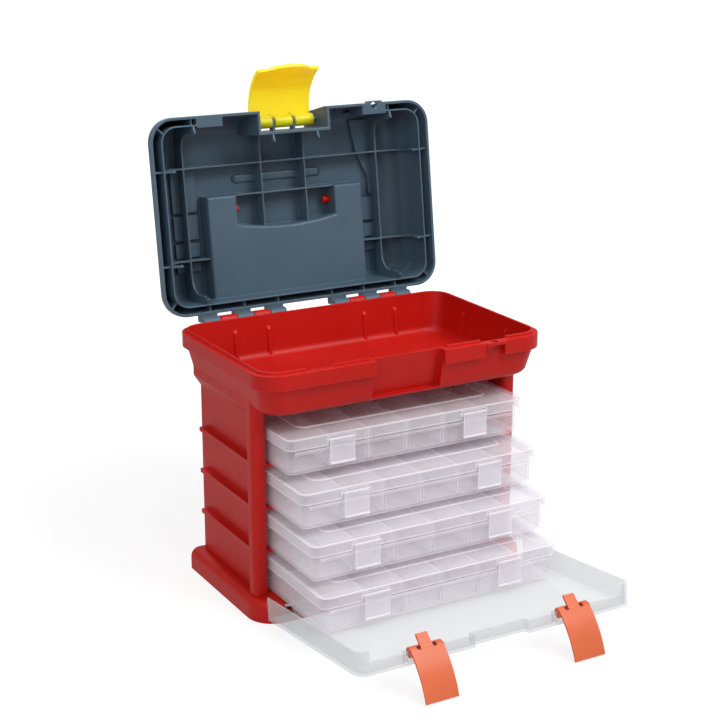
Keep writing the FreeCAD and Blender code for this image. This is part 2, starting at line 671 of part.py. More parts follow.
def lid_form(inset, floor, drop):
    """The domed form of the closed lid, drawn in by a wall and with its top lowered by one."""
    shoulder = LID_BAND + LID_TAPER_HEIGHT
    rise = LID_HEIGHT - shoulder - drop
    sections = [(0, 0, floor), (0, 0, LID_RIM + LID_BAND), (1, 0, LID_RIM + shoulder)]
    for step in range(1, LID_ROUND_STEPS + 1):
        angle = math.radians(90 * step / LID_ROUND_STEPS)
        sections.append((1, 1 - math.cos(angle), LID_RIM + shoulder + rise * math.sin(angle)))
    wires = []
    for lean, turn, z in sections:
        side = LID_TAPER * lean + (LID_ROUND - inset) * turn
        front = LID_FRONT_TAPER * lean + (LID_ROUND - inset) * turn
        back = LID_BACK_TAPER * lean + (LID_BACK_ROUND - inset) * turn
        share = side / (LID_TAPER + LID_ROUND - inset)
        radius = LID_CORNER - inset + (LID_TOP_CORNER - LID_CORNER) * share
        wires.append(outline(LID_HALF - inset - side, -LID_REACH + inset + front, LID_REACH - inset - back,
                             z, radius))
    return taper(wires)


def lid_webs(gutter):
    """Thin webs across the gutter between the two rim walls."""
    z0 = LID_RIM + LID_WEB_SETBACK
    half = LID_WEB_THICK / 2
    webs = []
    for y in (LID_CROSS_RIB_Y, LID_BACK_RIB_Y):
        webs.append(block(-LID_HALF, LID_HALF, y - half, y + half, z0, LID_TOP))
    for x in LID_HINGE_WEB_X:
        for x0, x1 in both_sides(x - half, x + half):
            webs.append(block(x0, x1, 0, LID_REACH, z0, LID_TOP))
    for x0, x1 in both_sides(LID_FRONT_WEB_X - half, LID_FRONT_WEB_X + half):
        webs.append(block(x0, x1, -LID_REACH, 0, z0, LID_TOP))
    for x in (-LID_HALF, LID_HALF):
        for y in (-LID_REACH, LID_REACH):
            web = block(-LID_CORNER, LID_CORNER, -half, half, z0, LID_TOP)
            web.rotate(vector(0, 0, 0), vector(0, 0, 1), 45 if x * y > 0 else -45)
            inward = LID_CORNER / 2
            web.translate(vector(x - math.copysign(inward, x), y - math.copysign(inward, y), 0))
            webs.append(web)
    return [web.common(gutter) for web in webs]


def lid_ribs():
    """Ribs under the lid's ceiling that climb its walls, with a rounded inner edge where they turn."""
    z0 = LID_RIM + LID_WEB_SETBACK
    half = LID_RIB_THICK / 2
    core = block(-LID_LIP_HALF + LID_RIB_CLIMB, LID_LIP_HALF - LID_RIB_CLIMB,
                 -LID_LIP_REACH + LID_RIB_CLIMB, LID_LIP_REACH - LID_RIB_CLIMB,
                 LID_RIM - LID_WALL, LID_CEILING - LID_RIB_HEIGHT)
    upper = [edge for edge in core.Edges if edge.BoundBox.ZMin > LID_RIM]
    core = core.makeFillet(LID_RIB_ROUND, upper)
    ribs = [block(-LID_HALF, LID_HALF, LID_CROSS_RIB_Y - half, LID_CROSS_RIB_Y + half, z0, LID_TOP)]
    ribs.append(block(-TONGUE_HALF, TONGUE_HALF, RECESS_FRONT, RECESS_FRONT + LID_RIB_THICK, z0, LID_TOP))
    for x0, x1 in both_sides(RECESS_WIDTH / 2 - LID_WALL, LID_HALF):
        ribs.append(block(x0, x1, LID_BACK_RIB_Y - half, LID_BACK_RIB_Y + half, z0, LID_TOP))
    for x0, x1 in both_sides(LID_UPRIGHT_RIB_X - half, LID_UPRIGHT_RIB_X + half):
        ribs.append(block(x0, x1, NOTCH_BACK + LID_WALL, TONGUE_END + TONGUE_BULGE, z0, LID_TOP))
    for x0, x1 in both_sides(LID_SIDE_RIB_X - half, LID_SIDE_RIB_X + half):
        ribs.append(block(x0, x1, -LID_REACH, LID_REACH, z0, LID_TOP))
    return [rib.cut(core) for rib in ribs]


def recess_plan(gap, back, z0, z1):
    """The U of the handle recess up to a back edge, drawn in by a gap on its other sides."""
    half = RECESS_WIDTH / 2 - gap
    tongue_half = TONGUE_HALF + gap
    tongue_end = TONGUE_END + gap
    field = block(-half, half, RECESS_FRONT + gap, back, z0, z1)
    start = vector(-tongue_half, tongue_end, z0)
    middle = vector(0, tongue_end + TONGUE_BULGE, z0)
    end = vector(tongue_half, tongue_end, z0)
    far_right = vector(tongue_half, -LID_REACH, z0)
    far_left = vector(-tongue_half, -LID_REACH, z0)
    edges = [Part.Arc(start, middle, end).toShape()]
    edges += Part.makePolygon([end, far_right, far_left, start]).Edges
    tongue = Part.Face(Part.Wire(edges)).extrude(vector(0, 0, z1 - z0))
    return field.cut(tongue)


def make_lid():
    """The closed lid: domed shell, double rim, ribs, handle recess, latch notch, eyes and hinge knuckles."""
    outer = lid_form(0, LID_RIM, 0)
    hollow = lid_form(LID_WALL, LID_RIM - LID_WALL, LID_WALL)
    lip_corner = BIN_CORNER - BIN_RIM_PROUD - BIN_WALL - LID_LIP_GAP
    lip_inner = LID_LIP_HALF - LID_LIP_THICK
    lip_core = slab(lip_inner, -LID_LIP_REACH + LID_LIP_THICK, LID_LIP_REACH - LID_LIP_THICK,
                    LID_RIM - LID_WALL, LID_TOP, lip_corner - LID_LIP_THICK)
    lip_block = slab(LID_LIP_HALF, -LID_LIP_REACH, LID_LIP_REACH, LID_RIM, LID_TOP, lip_corner)
    lip = lip_block.cut(lip_core).common(hollow)

    # The inner lip stops short of the latch notch, at the two rim blocks
    for x0, x1 in both_sides(LATCH_NOTCH_HALF, PADLOCK_X - EYE_HALF - LID_WALL):
        lip = lip.cut(block(x0, x1, -LID_REACH, -LID_LIP_REACH + LID_WALL, LID_RIM, LID_CEILING))
    gutter = hollow.cut(lip_core)
    room = hollow.common(lip_core)
    ribs = [rib.common(room) for rib in lid_ribs()]
    boss_back = LID_LIP_REACH - LID_LIP_THICK / 2
    boss = recess_plan(0, boss_back, RECESS_FLOOR - LID_WALL, LID_TOP)
    face_edges = [edge for edge in boss.Edges
                  if edge.BoundBox.ZMax < RECESS_FLOOR and edge.CenterOfMass.y < RECESS_BACK]
    boss = boss.makeFillet(BOSS_ROUND, face_edges).common(outer)
    pocket = recess_plan(LID_WALL, RECESS_BACK - LID_WALL, RECESS_FLOOR, LID_TOP + LID_WALL)
    notch_half = LATCH_NOTCH_HALF
    notch_walls = block(-notch_half - LID_WALL, notch_half + LID_WALL, -LID_REACH, NOTCH_BACK + LID_WALL,
                        LID_RIM, LID_TOP).common(outer)
    notch = block(-notch_half, notch_half, -LID_REACH - LID_WALL, NOTCH_BACK, LID_RIM - LID_WALL,
                  LID_TOP + LID_WALL)
    pieces = [outer.cut(hollow), lip, boss, notch_walls] + ribs + lid_webs(gutter)
    cuts = [pocket, notch]

    # Two rim blocks: the right one has a pocket in the front wall and a holed shelf, the left one is plain
    back = -LID_REACH + EYE_POCKET_DEPTH
    for x in (-PADLOCK_X, PADLOCK_X):
        pieces.append(block(x - EYE_HALF - LID_WALL, x + EYE_HALF + LID_WALL, -LID_REACH, back + LID_WALL,
                            LID_RIM, LID_RIM + EYE_THICK + EYE_POCKET_HEIGHT).common(outer))
    eye_x0 = PADLOCK_X - EYE_HALF
    eye_x1 = PADLOCK_X + EYE_HALF
    cuts.append(block(eye_x0, eye_x1, -LID_REACH - LID_WALL, back, LID_RIM + EYE_THICK,
                      LID_RIM + EYE_POCKET_HEIGHT))
    eye_shelf = eye_tab(back + LID_WALL, LID_RIM, LID_RIM + EYE_THICK)
    eye_hole = rod_z(PADLOCK_X, PADLOCK_Y, LID_RIM - LID_WALL, LID_RIM + EYE_POCKET_HEIGHT, PADLOCK_RADIUS)

    # Hinge knuckles
    knuckles = []
    for x0, x1 in knuckle_stretches(0):
        knuckles.append(rod_x(x0, x1, LID_HINGE_Y, LID_HINGE_Z, KNUCKLE_RADIUS))
        knuckles.append(block(x0, x1, LID_REACH - LID_WALL / 2, LID_HINGE_Y, LID_RIM, LID_RIM + KNUCKLE_ARM))
    pin_hole = rod_x(-LID_HALF, LID_HALF, LID_HINGE_Y, LID_HINGE_Z, LID_PIN_RADIUS + RUNNING_FIT)

    # Lugs that carry the latch pin, and the sockets of the handle
    lugs = []
    for x in (-LATCH_LUG_X, LATCH_LUG_X):
        x0 = x - LATCH_LUG_WIDTH / 2
        x1 = x + LATCH_LUG_WIDTH / 2
        lugs.append(rod_x(x0, x1, LATCH_PIVOT_Y, LATCH_PIVOT_Z, LATCH_LUG_RADIUS))
        lugs.append(block(x0, x1, LATCH_PIVOT_Y, NOTCH_BACK + LID_WALL, LATCH_PIVOT_Z - LATCH_LUG_RADIUS,
                          LATCH_PIVOT_Z + LATCH_LUG_RADIUS))
    latch_hole = rod_x(-notch_half, notch_half, LATCH_PIVOT_Y, LATCH_PIVOT_Z,
                       LATCH_PIN_RADIUS + RUNNING_FIT / 2)
    socket_reach = TONGUE_HALF + 2 * LID_WALL
    handle_holes = [rod_x(x0, x1, HANDLE_PIVOT_Y, HANDLE_PIVOT_Z, HANDLE_STUB_RADIUS + RUNNING_FIT)
                    for x0, x1 in both_sides(TONGUE_HALF - LID_WALL, socket_reach)]

    shell = without(joined(pieces), cuts)
    shell = joined([shell, eye_shelf] + knuckles + lugs)
    return without(shell, [eye_hole, pin_hole, latch_hole] + handle_holes)


def make_latch_pin():
    """The rod that the lid latch turns on, between the sides of its notch."""
    return rod_x(-LATCH_NOTCH_HALF, LATCH_NOTCH_HALF, LATCH_PIVOT_Y, LATCH_PIVOT_Z, LATCH_PIN_RADIUS)


def latch_bow(half, outer, inner, start, end):
    """A band of the latch's bow between two radii and two angles, as wide as the latch or less."""
    centre_y = LATCH_PIVOT_Y + LATCH_BOW_Y
    centre_z = LATCH_PIVOT_Z - LATCH_BOW_DROP

    def point(radius, degrees):
        angle = math.radians(degrees)
        return vector(-half, centre_y - radius * math.cos(angle), centre_z + radius * math.sin(angle))

    middle = (start + end) / 2
    edges = [
        Part.Arc(point(outer, start), point(outer, middle), point(outer, end)).toShape(),
        Part.LineSegment(point(outer, end), point(inner, end)).toShape(),
        Part.Arc(point(inner, end), point(inner, middle), point(inner, start)).toShape(),
        Part.LineSegment(point(inner, start), point(outer, start)).toShape(),
    ]
    return Part.Face(Part.Wire(edges)).extrude(vector(2 * half, 0, 0))


def make_lid_latch():
    """The lid latch as it hangs when shut: barrel, bowed plate, inner pad and a crowned tip with two ears."""
    inner = LATCH_BOW_RADIUS - LATCH_THICK
    plate = latch_bow(LATCH_HALF, LATCH_BOW_RADIUS, inner, LATCH_BOW_START, LATCH_TIP_ANGLE)
    pad = latch_bow(LATCH_HALF, LATCH_BOW_RADIUS - LATCH_THICK / 2, inner - LATCH_PAD_PROUD,
                    LATCH_PAD_START, LATCH_TIP_ANGLE)
    barrel = rod_x(-LATCH_HALF, LATCH_HALF, LATCH_PIVOT_Y, LATCH_PIVOT_Z, LATCH_BARREL_RADIUS)
    far = LATCH_HALF * 2
    cuts = [rod_x(-far, far, LATCH_PIVOT_Y, LATCH_PIVOT_Z, LATCH_PIN_RADIUS + RUNNING_FIT)]
    for x in (-LATCH_LUG_X, LATCH_LUG_X):
        half = LATCH_LUG_WIDTH / 2 + SLIDE_FIT
        cuts.append(rod_x(x - half, x + half, LATCH_PIVOT_Y, LATCH_PIVOT_Z, LATCH_SLOT_RADIUS))

    # The tip is crowned between two level ears
    crown_half = LATCH_HALF - LATCH_EAR_WIDTH
    centre_z = LATCH_PIVOT_Z - LATCH_BOW_DROP
    ear_z = centre_z + LATCH_BOW_RADIUS * math.sin(math.radians(LATCH_EAR_ANGLE))
    tip_z = centre_z + LATCH_BOW_RADIUS * math.sin(math.radians(LATCH_TIP_ANGLE))
    left = vector(-crown_half, 0, ear_z)
    right = vector(crown_half, 0, ear_z)
    edges = [Part.Arc(left, vector(0, 0, tip_z), right).toShape()]
    edges += Part.makePolygon([right, vector(far, 0, ear_z), vector(far, 0, tip_z - far),
                               vector(-far, 0, tip_z - far), vector(-far, 0, ear_z), left]).Edges
    crown = Part.Face(Part.Wire(edges)).extrude(vector(0, -2 * far, 0))
    crown.translate(vector(0, LATCH_PIVOT_Y + far, 0))
    return without(joined([plate, pad, barrel]), cuts + [crown])


def make_handle():
    """The carry handle lying in its recess: two arms, a grip and two pivot stubs that point inwards."""
    outer_x = RECESS_WIDTH / 2 - LID_WALL - HANDLE_SIDE_GAP
    inner_x = outer_x - HANDLE_ARM_WIDTH
    grip_back = RECESS_BACK - LID_WALL - HANDLE_END_GAP
    z0 = HANDLE_PIVOT_Z - HANDLE_THICK / 2
    z1 = HANDLE_PIVOT_Z + HANDLE_THICK / 2
    grip = block(-outer_x, outer_x, grip_back - HANDLE_GRIP_DEPTH, grip_back, z0, z1)
    along = [edge for edge in grip.Edges if abs(edge.tangentAt(edge.FirstParameter).x) > 0.9]
    pieces = [grip.makeFillet(HANDLE_ROUND, along)]
    for x0, x1 in both_sides(inner_x, outer_x):
        pieces.append(block(x0, x1, HANDLE_PIVOT_Y, grip_back - HANDLE_GRIP_DEPTH / 2, z0, z1))
        pieces.append(rod_x(x0, x1, HANDLE_PIVOT_Y, HANDLE_PIVOT_Z, HANDLE_THICK / 2))
    for x0, x1 in both_sides(TONGUE_HALF - HANDLE_STUB_PROUD, inner_x + HANDLE_ROUND):
        pieces.append(rod_x(x0, x1, HANDLE_PIVOT_Y, HANDLE_PIVOT_Z, HANDLE_STUB_RADIUS))
    return joined(pieces)


def door_edge_fillet(shape, radius):
    """Rounds the two upper corners of a closed door block."""
    edges = []
    for edge in shape.Edges:
        along_y = abs(edge.tangentAt(edge.FirstParameter).y) > 0.9
        if along_y and edge.CenterOfMass.z > (DOOR_FOOT + DOOR_HEAD) / 2:
            edges.append(edge)
    return shape.makeFillet(radius, edges)


def make_door():
    """The drop front as it stands when shut: a shallow tub with a dipped head, knuckles and latch bars."""
    back = DOOR_FACE + DOOR_FLANGE
    inner = DOOR_FACE + DOOR_WALL
    tub = door_edge_fillet(block(-DOOR_HALF, DOOR_HALF, DOOR_FACE, back, DOOR_FOOT, DOOR_HEAD), DOOR_CORNER)
    room = door_edge_fillet(block(-DOOR_HALF + DOOR_WALL, DOOR_HALF - DOOR_WALL, inner, back + DOOR_WALL,
                                  DOOR_FOOT - DOOR_WALL, DOOR_HEAD - DOOR_WALL), DOOR_CORNER - DOOR_WALL)
    inside_half = DOOR_HALF - DOOR_CORNER
    head_cut = block(-inside_half, inside_half, DOOR_FACE + DOOR_TOP_FLANGE, back + DOOR_WALL,
                     DOOR_HEAD - 2 * DOOR_WALL, DOOR_HEAD + DOOR_WALL)
    dip_foot = DOOR_HEAD - DOOR_DIP
    dip = block(-DOOR_DIP_HALF, DOOR_DIP_HALF, DOOR_FACE - DOOR_WALL, back, dip_foot, DOOR_HEAD + DOOR_WALL)
    dip_flange = block(-DOOR_DIP_HALF - DOOR_WALL, DOOR_DIP_HALF + DOOR_WALL, DOOR_FACE,
                       DOOR_FACE + DOOR_TOP_FLANGE, dip_foot - DOOR_WALL, dip_foot)
    dip_sides = [block(x0, x1, DOOR_FACE, DOOR_FACE + DOOR_TOP_FLANGE, dip_foot - DOOR_WALL, DOOR_HEAD)
                 for x0, x1 in both_sides(DOOR_DIP_HALF, DOOR_DIP_HALF + DOOR_WALL)]
    tub = without(tub, [room, head_cut, dip])
    pieces = [tub, dip_flange] + dip_sides

    # Hinge knuckles on arms that reach into the base
    half = DOOR_KNUCKLE_WIDTH / 2
    for x in DOOR_KNUCKLE_X:
        for x0, x1 in both_sides(x - half, x + half):
            pieces.append(rod_x(x0, x1, DOOR_HINGE_Y, DOOR_HINGE_HEIGHT, DOOR_KNUCKLE_RADIUS))
            pieces.append(block(x0, x1, DOOR_FACE, inner, DOOR_HINGE_HEIGHT - DOOR_ARM_REACH,
                                DOOR_FOOT + DOOR_WALL))
            pieces.append(block(x0, x1, DOOR_FACE, DOOR_HINGE_Y, DOOR_HINGE_HEIGHT - DOOR_ARM_REACH,
                                DOOR_HINGE_HEIGHT + DOOR_ARM_REACH))
    cuts = [rod_x(-DOOR_HALF, DOOR_HALF, DOOR_HINGE_Y, DOOR_HINGE_HEIGHT, DOOR_PIN_RADIUS + RUNNING_FIT)]

    # Latch bars across slots in the head, with a window in the face behind each
    bars = []
    for x in (-CLIP_X, CLIP_X):
        x0 = x - CLIP_SLOT_HALF
        x1 = x + CLIP_SLOT_HALF
        cuts.append(block(x0, x1, inner, back, DOOR_HEAD - 2 * DOOR_WALL, DOOR_HEAD + DOOR_WALL))
        cuts.append(block(x0, x1, DOOR_FACE - DOOR_WALL, back, CLIP_BAR_Z + CLIP_HOOK_RADIUS / 2,
                          DOOR_HEAD + DOOR_WALL))
        window_half = CLIP_TAB_HALF + CLIP_WINDOW_GAP
        cuts.append(block(x - window_half, x + window_half, DOOR_FACE - DOOR_WALL, inner + DOOR_WALL,
                          CLIP_BAR_Z - CLIP_TAB_LENGTH - CLIP_HOOK_RADIUS, DOOR_HEAD + DOOR_WALL))
        bars.append(rod_x(x0 - DOOR_WALL, x1 + DOOR_WALL, CLIP_BAR_Y, CLIP_BAR_Z, CLIP_BAR_RADIUS))
        for side0, side1 in ((x0 - DOOR_WALL, x0), (x1, x1 + DOOR_WALL)):
            bars.append(block(side0, side1, DOOR_FACE, DOOR_FACE + DOOR_TOP_FLANGE,
                              CLIP_BAR_Z - CLIP_HOOK_RADIUS, DOOR_HEAD))
    return joined([without(joined(pieces), cuts)] + bars)


def make_clip(x):
    """A latch of the drop front: hooks on the bar, a bowed plate that slopes down and a tab between notches."""
    x0 = x - CLIP_WIDTH / 2
    x1 = x + CLIP_WIDTH / 2
    low = CLIP_PLATE_GAP
    high = CLIP_PLATE_GAP + CLIP_PLATE_THICK
    start = -CLIP_BAR_RADIUS
    middle = CLIP_LENGTH / 2
    edges = [
        Part.Arc(vector(x0, start, low), vector(x0, middle, low + CLIP_BULGE),
                 vector(x0, CLIP_LENGTH, low)).toShape(),
        Part.LineSegment(vector(x0, CLIP_LENGTH, low), vector(x0, CLIP_LENGTH, high)).toShape(),
        Part.Arc(vector(x0, CLIP_LENGTH, high), vector(x0, middle, high + CLIP_BULGE),
                 vector(x0, start, high)).toShape(),
        Part.LineSegment(vector(x0, start, high), vector(x0, start, low)).toShape(),
    ]
    plate = Part.Face(Part.Wire(edges)).extrude(vector(CLIP_WIDTH, 0, 0))
    tab = block(x - CLIP_TAB_HALF, x + CLIP_TAB_HALF, -CLIP_TAB_LENGTH, 0, low, high)
    tab.rotate(vector(0, 0, 0), vector(1, 0, 0), CLIP_TAB_TURN)
    hooks = [rod_x(x0, x0 + CLIP_HOOK_WIDTH, 0, 0, CLIP_HOOK_RADIUS),
             rod_x(x1 - CLIP_HOOK_WIDTH, x1, 0, 0, CLIP_HOOK_RADIUS),
             rod_x(x - CLIP_TAB_HALF, x + CLIP_TAB_HALF, 0, 0, CLIP_HOOK_RADIUS)]
    bore = rod_x(x0, x1, 0, 0, CLIP_BAR_RADIUS + RUNNING_FIT)
    notch_x = CLIP_TAB_HALF + CLIP_NOTCH_RADIUS
    notches = [rod_z(x + side * notch_x, start, 0, high + CLIP_BULGE, CLIP_NOTCH_RADIUS) for side in (-1, 1)]
    clip = without(joined([plate, tab] + hooks), [bore] + notches)

    # Turned to slope down to the front, then set on the bar of the dropped door
    clip.rotate(vector(0, 0, 0), vector(0, 0, 1), 180)
    clip.translate(vector(2 * x, 0, 0))
    clip.rotate(vector(0, 0, 0), vector(1, 0, 0), CLIP_SLANT)
    swing = math.radians(DOOR_SWING)
    dy = CLIP_BAR_Y - DOOR_HINGE_Y
    dz = CLIP_BAR_Z - DOOR_HINGE_HEIGHT
    clip.translate(vector(0, DOOR_HINGE_Y + dy * math.cos(swing) - dz * math.sin(swing),
                          DOOR_HINGE_HEIGHT + dy * math.sin(swing) + dz * math.cos(swing)))
    return clip


def divider_places():
    """X of each divider in a tray."""
    bay = 2 * (BOX_HALF - TRAY_WALL) / (DIVIDER_COUNT + 1)
    return [bay * (index - (DIVIDER_COUNT - 1) / 2) for index in range(DIVIDER_COUNT)]


def make_tray_box(front, floor):
    """One open organizer box: walls, divider guides, catch lip and hinge cheeks."""
    y0 = front + TRAY_LID_REACH
    y1 = front + TRAY_DEPTH - TRAY_LID_REACH
    top = floor + TRAY_HEIGHT - TRAY_LID_WALL - TRAY_LID_LIFT
    outer = slab(BOX_HALF, y0, y1, floor, top, TRAY_BOX_CORNER)
    inner = slab(BOX_HALF - TRAY_WALL, y0 + TRAY_WALL, y1 - TRAY_WALL, floor + TRAY_WALL, top + TRAY_WALL,
                 TRAY_BOX_CORNER - TRAY_WALL)
    guides = []
    guide_top = top - DIVIDER_TOP_GAP
    offset = DIVIDER_THICK / 2 + DIVIDER_FIT
    for x in divider_places():
        for x0, x1 in ((x - offset - GUIDE_WIDTH, x - offset), (x + offset, x + offset + GUIDE_WIDTH)):
            guides.append(block(x0, x1, y0 + TRAY_WALL / 2, y0 + TRAY_WALL + GUIDE_PROUD,
                                floor + TRAY_WALL / 2, guide_top))
            guides.append(block(x0, x1, y1 - TRAY_WALL - GUIDE_PROUD, y1 - TRAY_WALL / 2,
                                floor + TRAY_WALL / 2, guide_top))
    lip_top = floor + TRAY_HEIGHT - TRAY_LID_SKIRT - CATCH_LIP_DROP
    lip = block(-BOX_HALF + TRAY_BOX_CORNER, BOX_HALF - TRAY_BOX_CORNER, y0 - CATCH_LIP, y0 + TRAY_WALL / 2,
                lip_top - CATCH_LIP_HEIGHT, lip_top)
    hinge_y = front + TRAY_DEPTH + TRAY_HINGE_BEHIND
    hinge_z = floor + TRAY_HEIGHT - TRAY_HINGE_DROP
    hinges = []
    reach = TRAY_HINGE_BARREL / 2 + SLIDE_FIT
    for x in (-TRAY_HINGE_X, TRAY_HINGE_X):
        hinges.append(rod_x(x - reach, x + reach, hinge_y, hinge_z, TRAY_HINGE_PIN_RADIUS))
        for x0, x1 in ((x - reach - TRAY_HINGE_CHEEK, x - reach), (x + reach, x + reach + TRAY_HINGE_CHEEK)):
            hinges.append(rod_x(x0, x1, hinge_y, hinge_z, TRAY_HINGE_RADIUS))
            hinges.append(block(x0, x1, y1 - TRAY_WALL / 2, hinge_y, hinge_z - TRAY_HINGE_RADIUS,
                                hinge_z + TRAY_HINGE_RADIUS))
    return joined([outer.cut(inner), lip] + guides + hinges)


def make_tray_lid(front, floor):
    """One organizer lid: plate with a raised frame, skirt, latch pins and hinge barrels."""
    back = front + TRAY_DEPTH
    top = floor + TRAY_HEIGHT
    foot = top - TRAY_LID_SKIRT
    outer = slab(TRAY_HALF, front, back, foot, top, TRAY_LID_CORNER)
    inner = slab(TRAY_HALF - TRAY_LID_WALL, front + TRAY_LID_WALL, back - TRAY_LID_WALL,
                 foot - TRAY_LID_WALL, top - TRAY_LID_WALL, TRAY_LID_CORNER - TRAY_LID_WALL)
    inset = TRAY_FRAME_INSET
    frame_top = top + TRAY_FRAME_HEIGHT
    frame = slab(TRAY_HALF - inset, front + inset, back - inset, top, frame_top, TRAY_FRAME_CORNER)
    inset += TRAY_FRAME_WIDTH
    frame = frame.cut(slab(TRAY_HALF - inset, front + inset, back - inset, top, frame_top + TRAY_LID_WALL,
                           TRAY_FRAME_CORNER - TRAY_FRAME_WIDTH))
    hinge_y = back + TRAY_HINGE_BEHIND
    hinge_z = top - TRAY_HINGE_DROP
    pin_z = top - TRAY_LATCH_PIN_DROP
    pin_y = front + TRAY_LATCH_PIN_INSET
    latch_half = TRAY_LATCH_WIDTH / 2 + SIDE_GAP
    notch_top = pin_z + TRAY_LATCH_BARREL_RADIUS + TRAY_LATCH_NOTCH_GAP
    hinge_half = TRAY_HINGE_BARREL / 2 + TRAY_HINGE_CHEEK + TRAY_HINGE_SIDE_GAP
    hinge_notch_top = hinge_z + TRAY_HINGE_RADIUS + SIDE_GAP
    cuts = [inner]
    extras = []
    for x in (-TRAY_LATCH_X, TRAY_LATCH_X):
        cuts.append(block(x - latch_half, x + latch_half, front - TRAY_LID_WALL, front + 2 * TRAY_LID_WALL,
                          foot - TRAY_LID_WALL, notch_top))
        extras.append(rod_x(x - latch_half - TRAY_LID_WALL, x + latch_half + TRAY_LID_WALL, pin_y, pin_z,
                            TRAY_LATCH_PIN_RADIUS))
    for x in (-TRAY_HINGE_X, TRAY_HINGE_X):
        cuts.append(block(x - hinge_half, x + hinge_half, back - 2 * TRAY_LID_WALL, back + TRAY_LID_WALL,
                          foot - TRAY_LID_WALL, hinge_notch_top))
        x0 = x - TRAY_HINGE_BARREL / 2
        x1 = x + TRAY_HINGE_BARREL / 2
        barrel = rod_x(x0, x1, hinge_y, hinge_z, TRAY_HINGE_RADIUS)
        arm = block(x0, x1, back - TRAY_LID_WALL, hinge_y + TRAY_LID_WALL / 2, hinge_z,
                    top - TRAY_LID_WALL / 2)
        bore = rod_x(x0, x1, hinge_y, hinge_z, TRAY_HINGE_PIN_RADIUS + RUNNING_FIT)
        extras.append(joined([barrel, arm]).cut(bore))
    return joined([without(outer, cuts), frame] + extras)


def make_tray_latch(x, front, floor):
    """One flap that shuts an organizer lid: barrel, plate and a pull edge."""
    x0 = x - TRAY_LATCH_WIDTH / 2
    x1 = x + TRAY_LATCH_WIDTH / 2
    pin_z = floor + TRAY_HEIGHT - TRAY_LATCH_PIN_DROP
    pin_y = front + TRAY_LATCH_PIN_INSET
    face = pin_y - TRAY_LATCH_BARREL_RADIUS
    foot = floor + TRAY_LATCH_END
    barrel = rod_x(x0, x1, pin_y, pin_z, TRAY_LATCH_BARREL_RADIUS)
    plate = block(x0, x1, face, face + TRAY_LATCH_THICK, foot, pin_z)
    pull = block(x0, x1, face - TRAY_LATCH_THICK / 2, face + TRAY_LATCH_THICK, foot, foot + TRAY_LATCH_THICK)
    bore = rod_x(x0, x1, pin_y, pin_z, TRAY_LATCH_PIN_RADIUS + RUNNING_FIT)
    return without(joined([barrel, plate, pull]), [bore])


def make_tray_dividers(front, floor):
    """The loose dividers that stand in one box's guides."""
    y0 = front + TRAY_LID_REACH + TRAY_WALL + DIVIDER_FIT
    y1 = front + TRAY_DEPTH - TRAY_LID_REACH - TRAY_WALL - DIVIDER_FIT
    top = floor + TRAY_HEIGHT - TRAY_LID_WALL - TRAY_LID_LIFT - DIVIDER_TOP_GAP
    half = DIVIDER_THICK / 2
    return [block(x - half, x + half, y0, y1, floor + TRAY_WALL, top) for x in divider_places()]


def opened_lid(shape):
    """A piece of the closed lid, swung to where the open lid stands."""
    return turned(shape, LID_HINGE_Y, LID_HINGE_Z, -LID_OPEN)


def main():
    os.makedirs("parts", exist_ok=True)

    # Cabinet
    save("top_bin", make_bin())
    panel = make_side_panel()
    save("side_panel_right", panel)
    save("side_panel_left", mirrored(panel))
    save("back_panel", make_back_panel())
    save("base_plate", make_base())
    bin_screws, base_screws = make_screws()
    save("bin_screws", Part.makeCompound(bin_screws))
    save("base_screws", Part.makeCompound(base_screws))
    save("lid_hinge_pins", Part.makeCompound(make_lid_pins()))
    pin_reach = HINGE_BAY_HALF + DOOR_PIN_SOCKET
    save("door_hinge_pin", rod_x(-pin_reach, pin_reach, DOOR_HINGE_Y, DOOR_HINGE_HEIGHT, DOOR_PIN_RADIUS))

    # Lid
    save("lid_shell", opened_lid(make_lid()))
    save("lid_latch_pin", opened_lid(make_latch_pin()))
    latch = turned(make_lid_latch(), LATCH_PIVOT_Y, LATCH_PIVOT_Z, -LATCH_OPEN)
    save("lid_latch", opened_lid(latch))
    handle = turned(make_handle(), HANDLE_PIVOT_Y, HANDLE_PIVOT_Z, HANDLE_HANG)
    save("carry_handle", opened_lid(handle))

    # Drop front
    save("front_door", turned(make_door(), DOOR_HINGE_Y, DOOR_HINGE_HEIGHT, DOOR_SWING))
    save("door_latch_left", make_clip(-CLIP_X))
    save("door_latch_right", make_clip(CLIP_X))

    # Trays
    for index, pull in enumerate(TRAY_PULLS):
        name = "tray_%d_" % (index + 1)
        front = TRAY_IN_FRONT - pull
        floor = TRAY_FLOORS[index]
        save(name + "box", make_tray_box(front, floor))
        save(name + "lid", make_tray_lid(front, floor))
        save(name + "dividers", Part.makeCompound(make_tray_dividers(front, floor)))
        save(name + "latch_left", make_tray_latch(-TRAY_LATCH_X, front, floor))
        save(name + "latch_right", make_tray_latch(TRAY_LATCH_X, front, floor))


main()
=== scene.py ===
"""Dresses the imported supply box: rounded mouldings, clear trays, studio floor, lights and camera."""

import json
import logging
import math
from dataclasses import dataclass
from enum import Enum

import bmesh
import bpy
from mathutils import Matrix, Vector
from mathutils.bvhtree import BVHTree


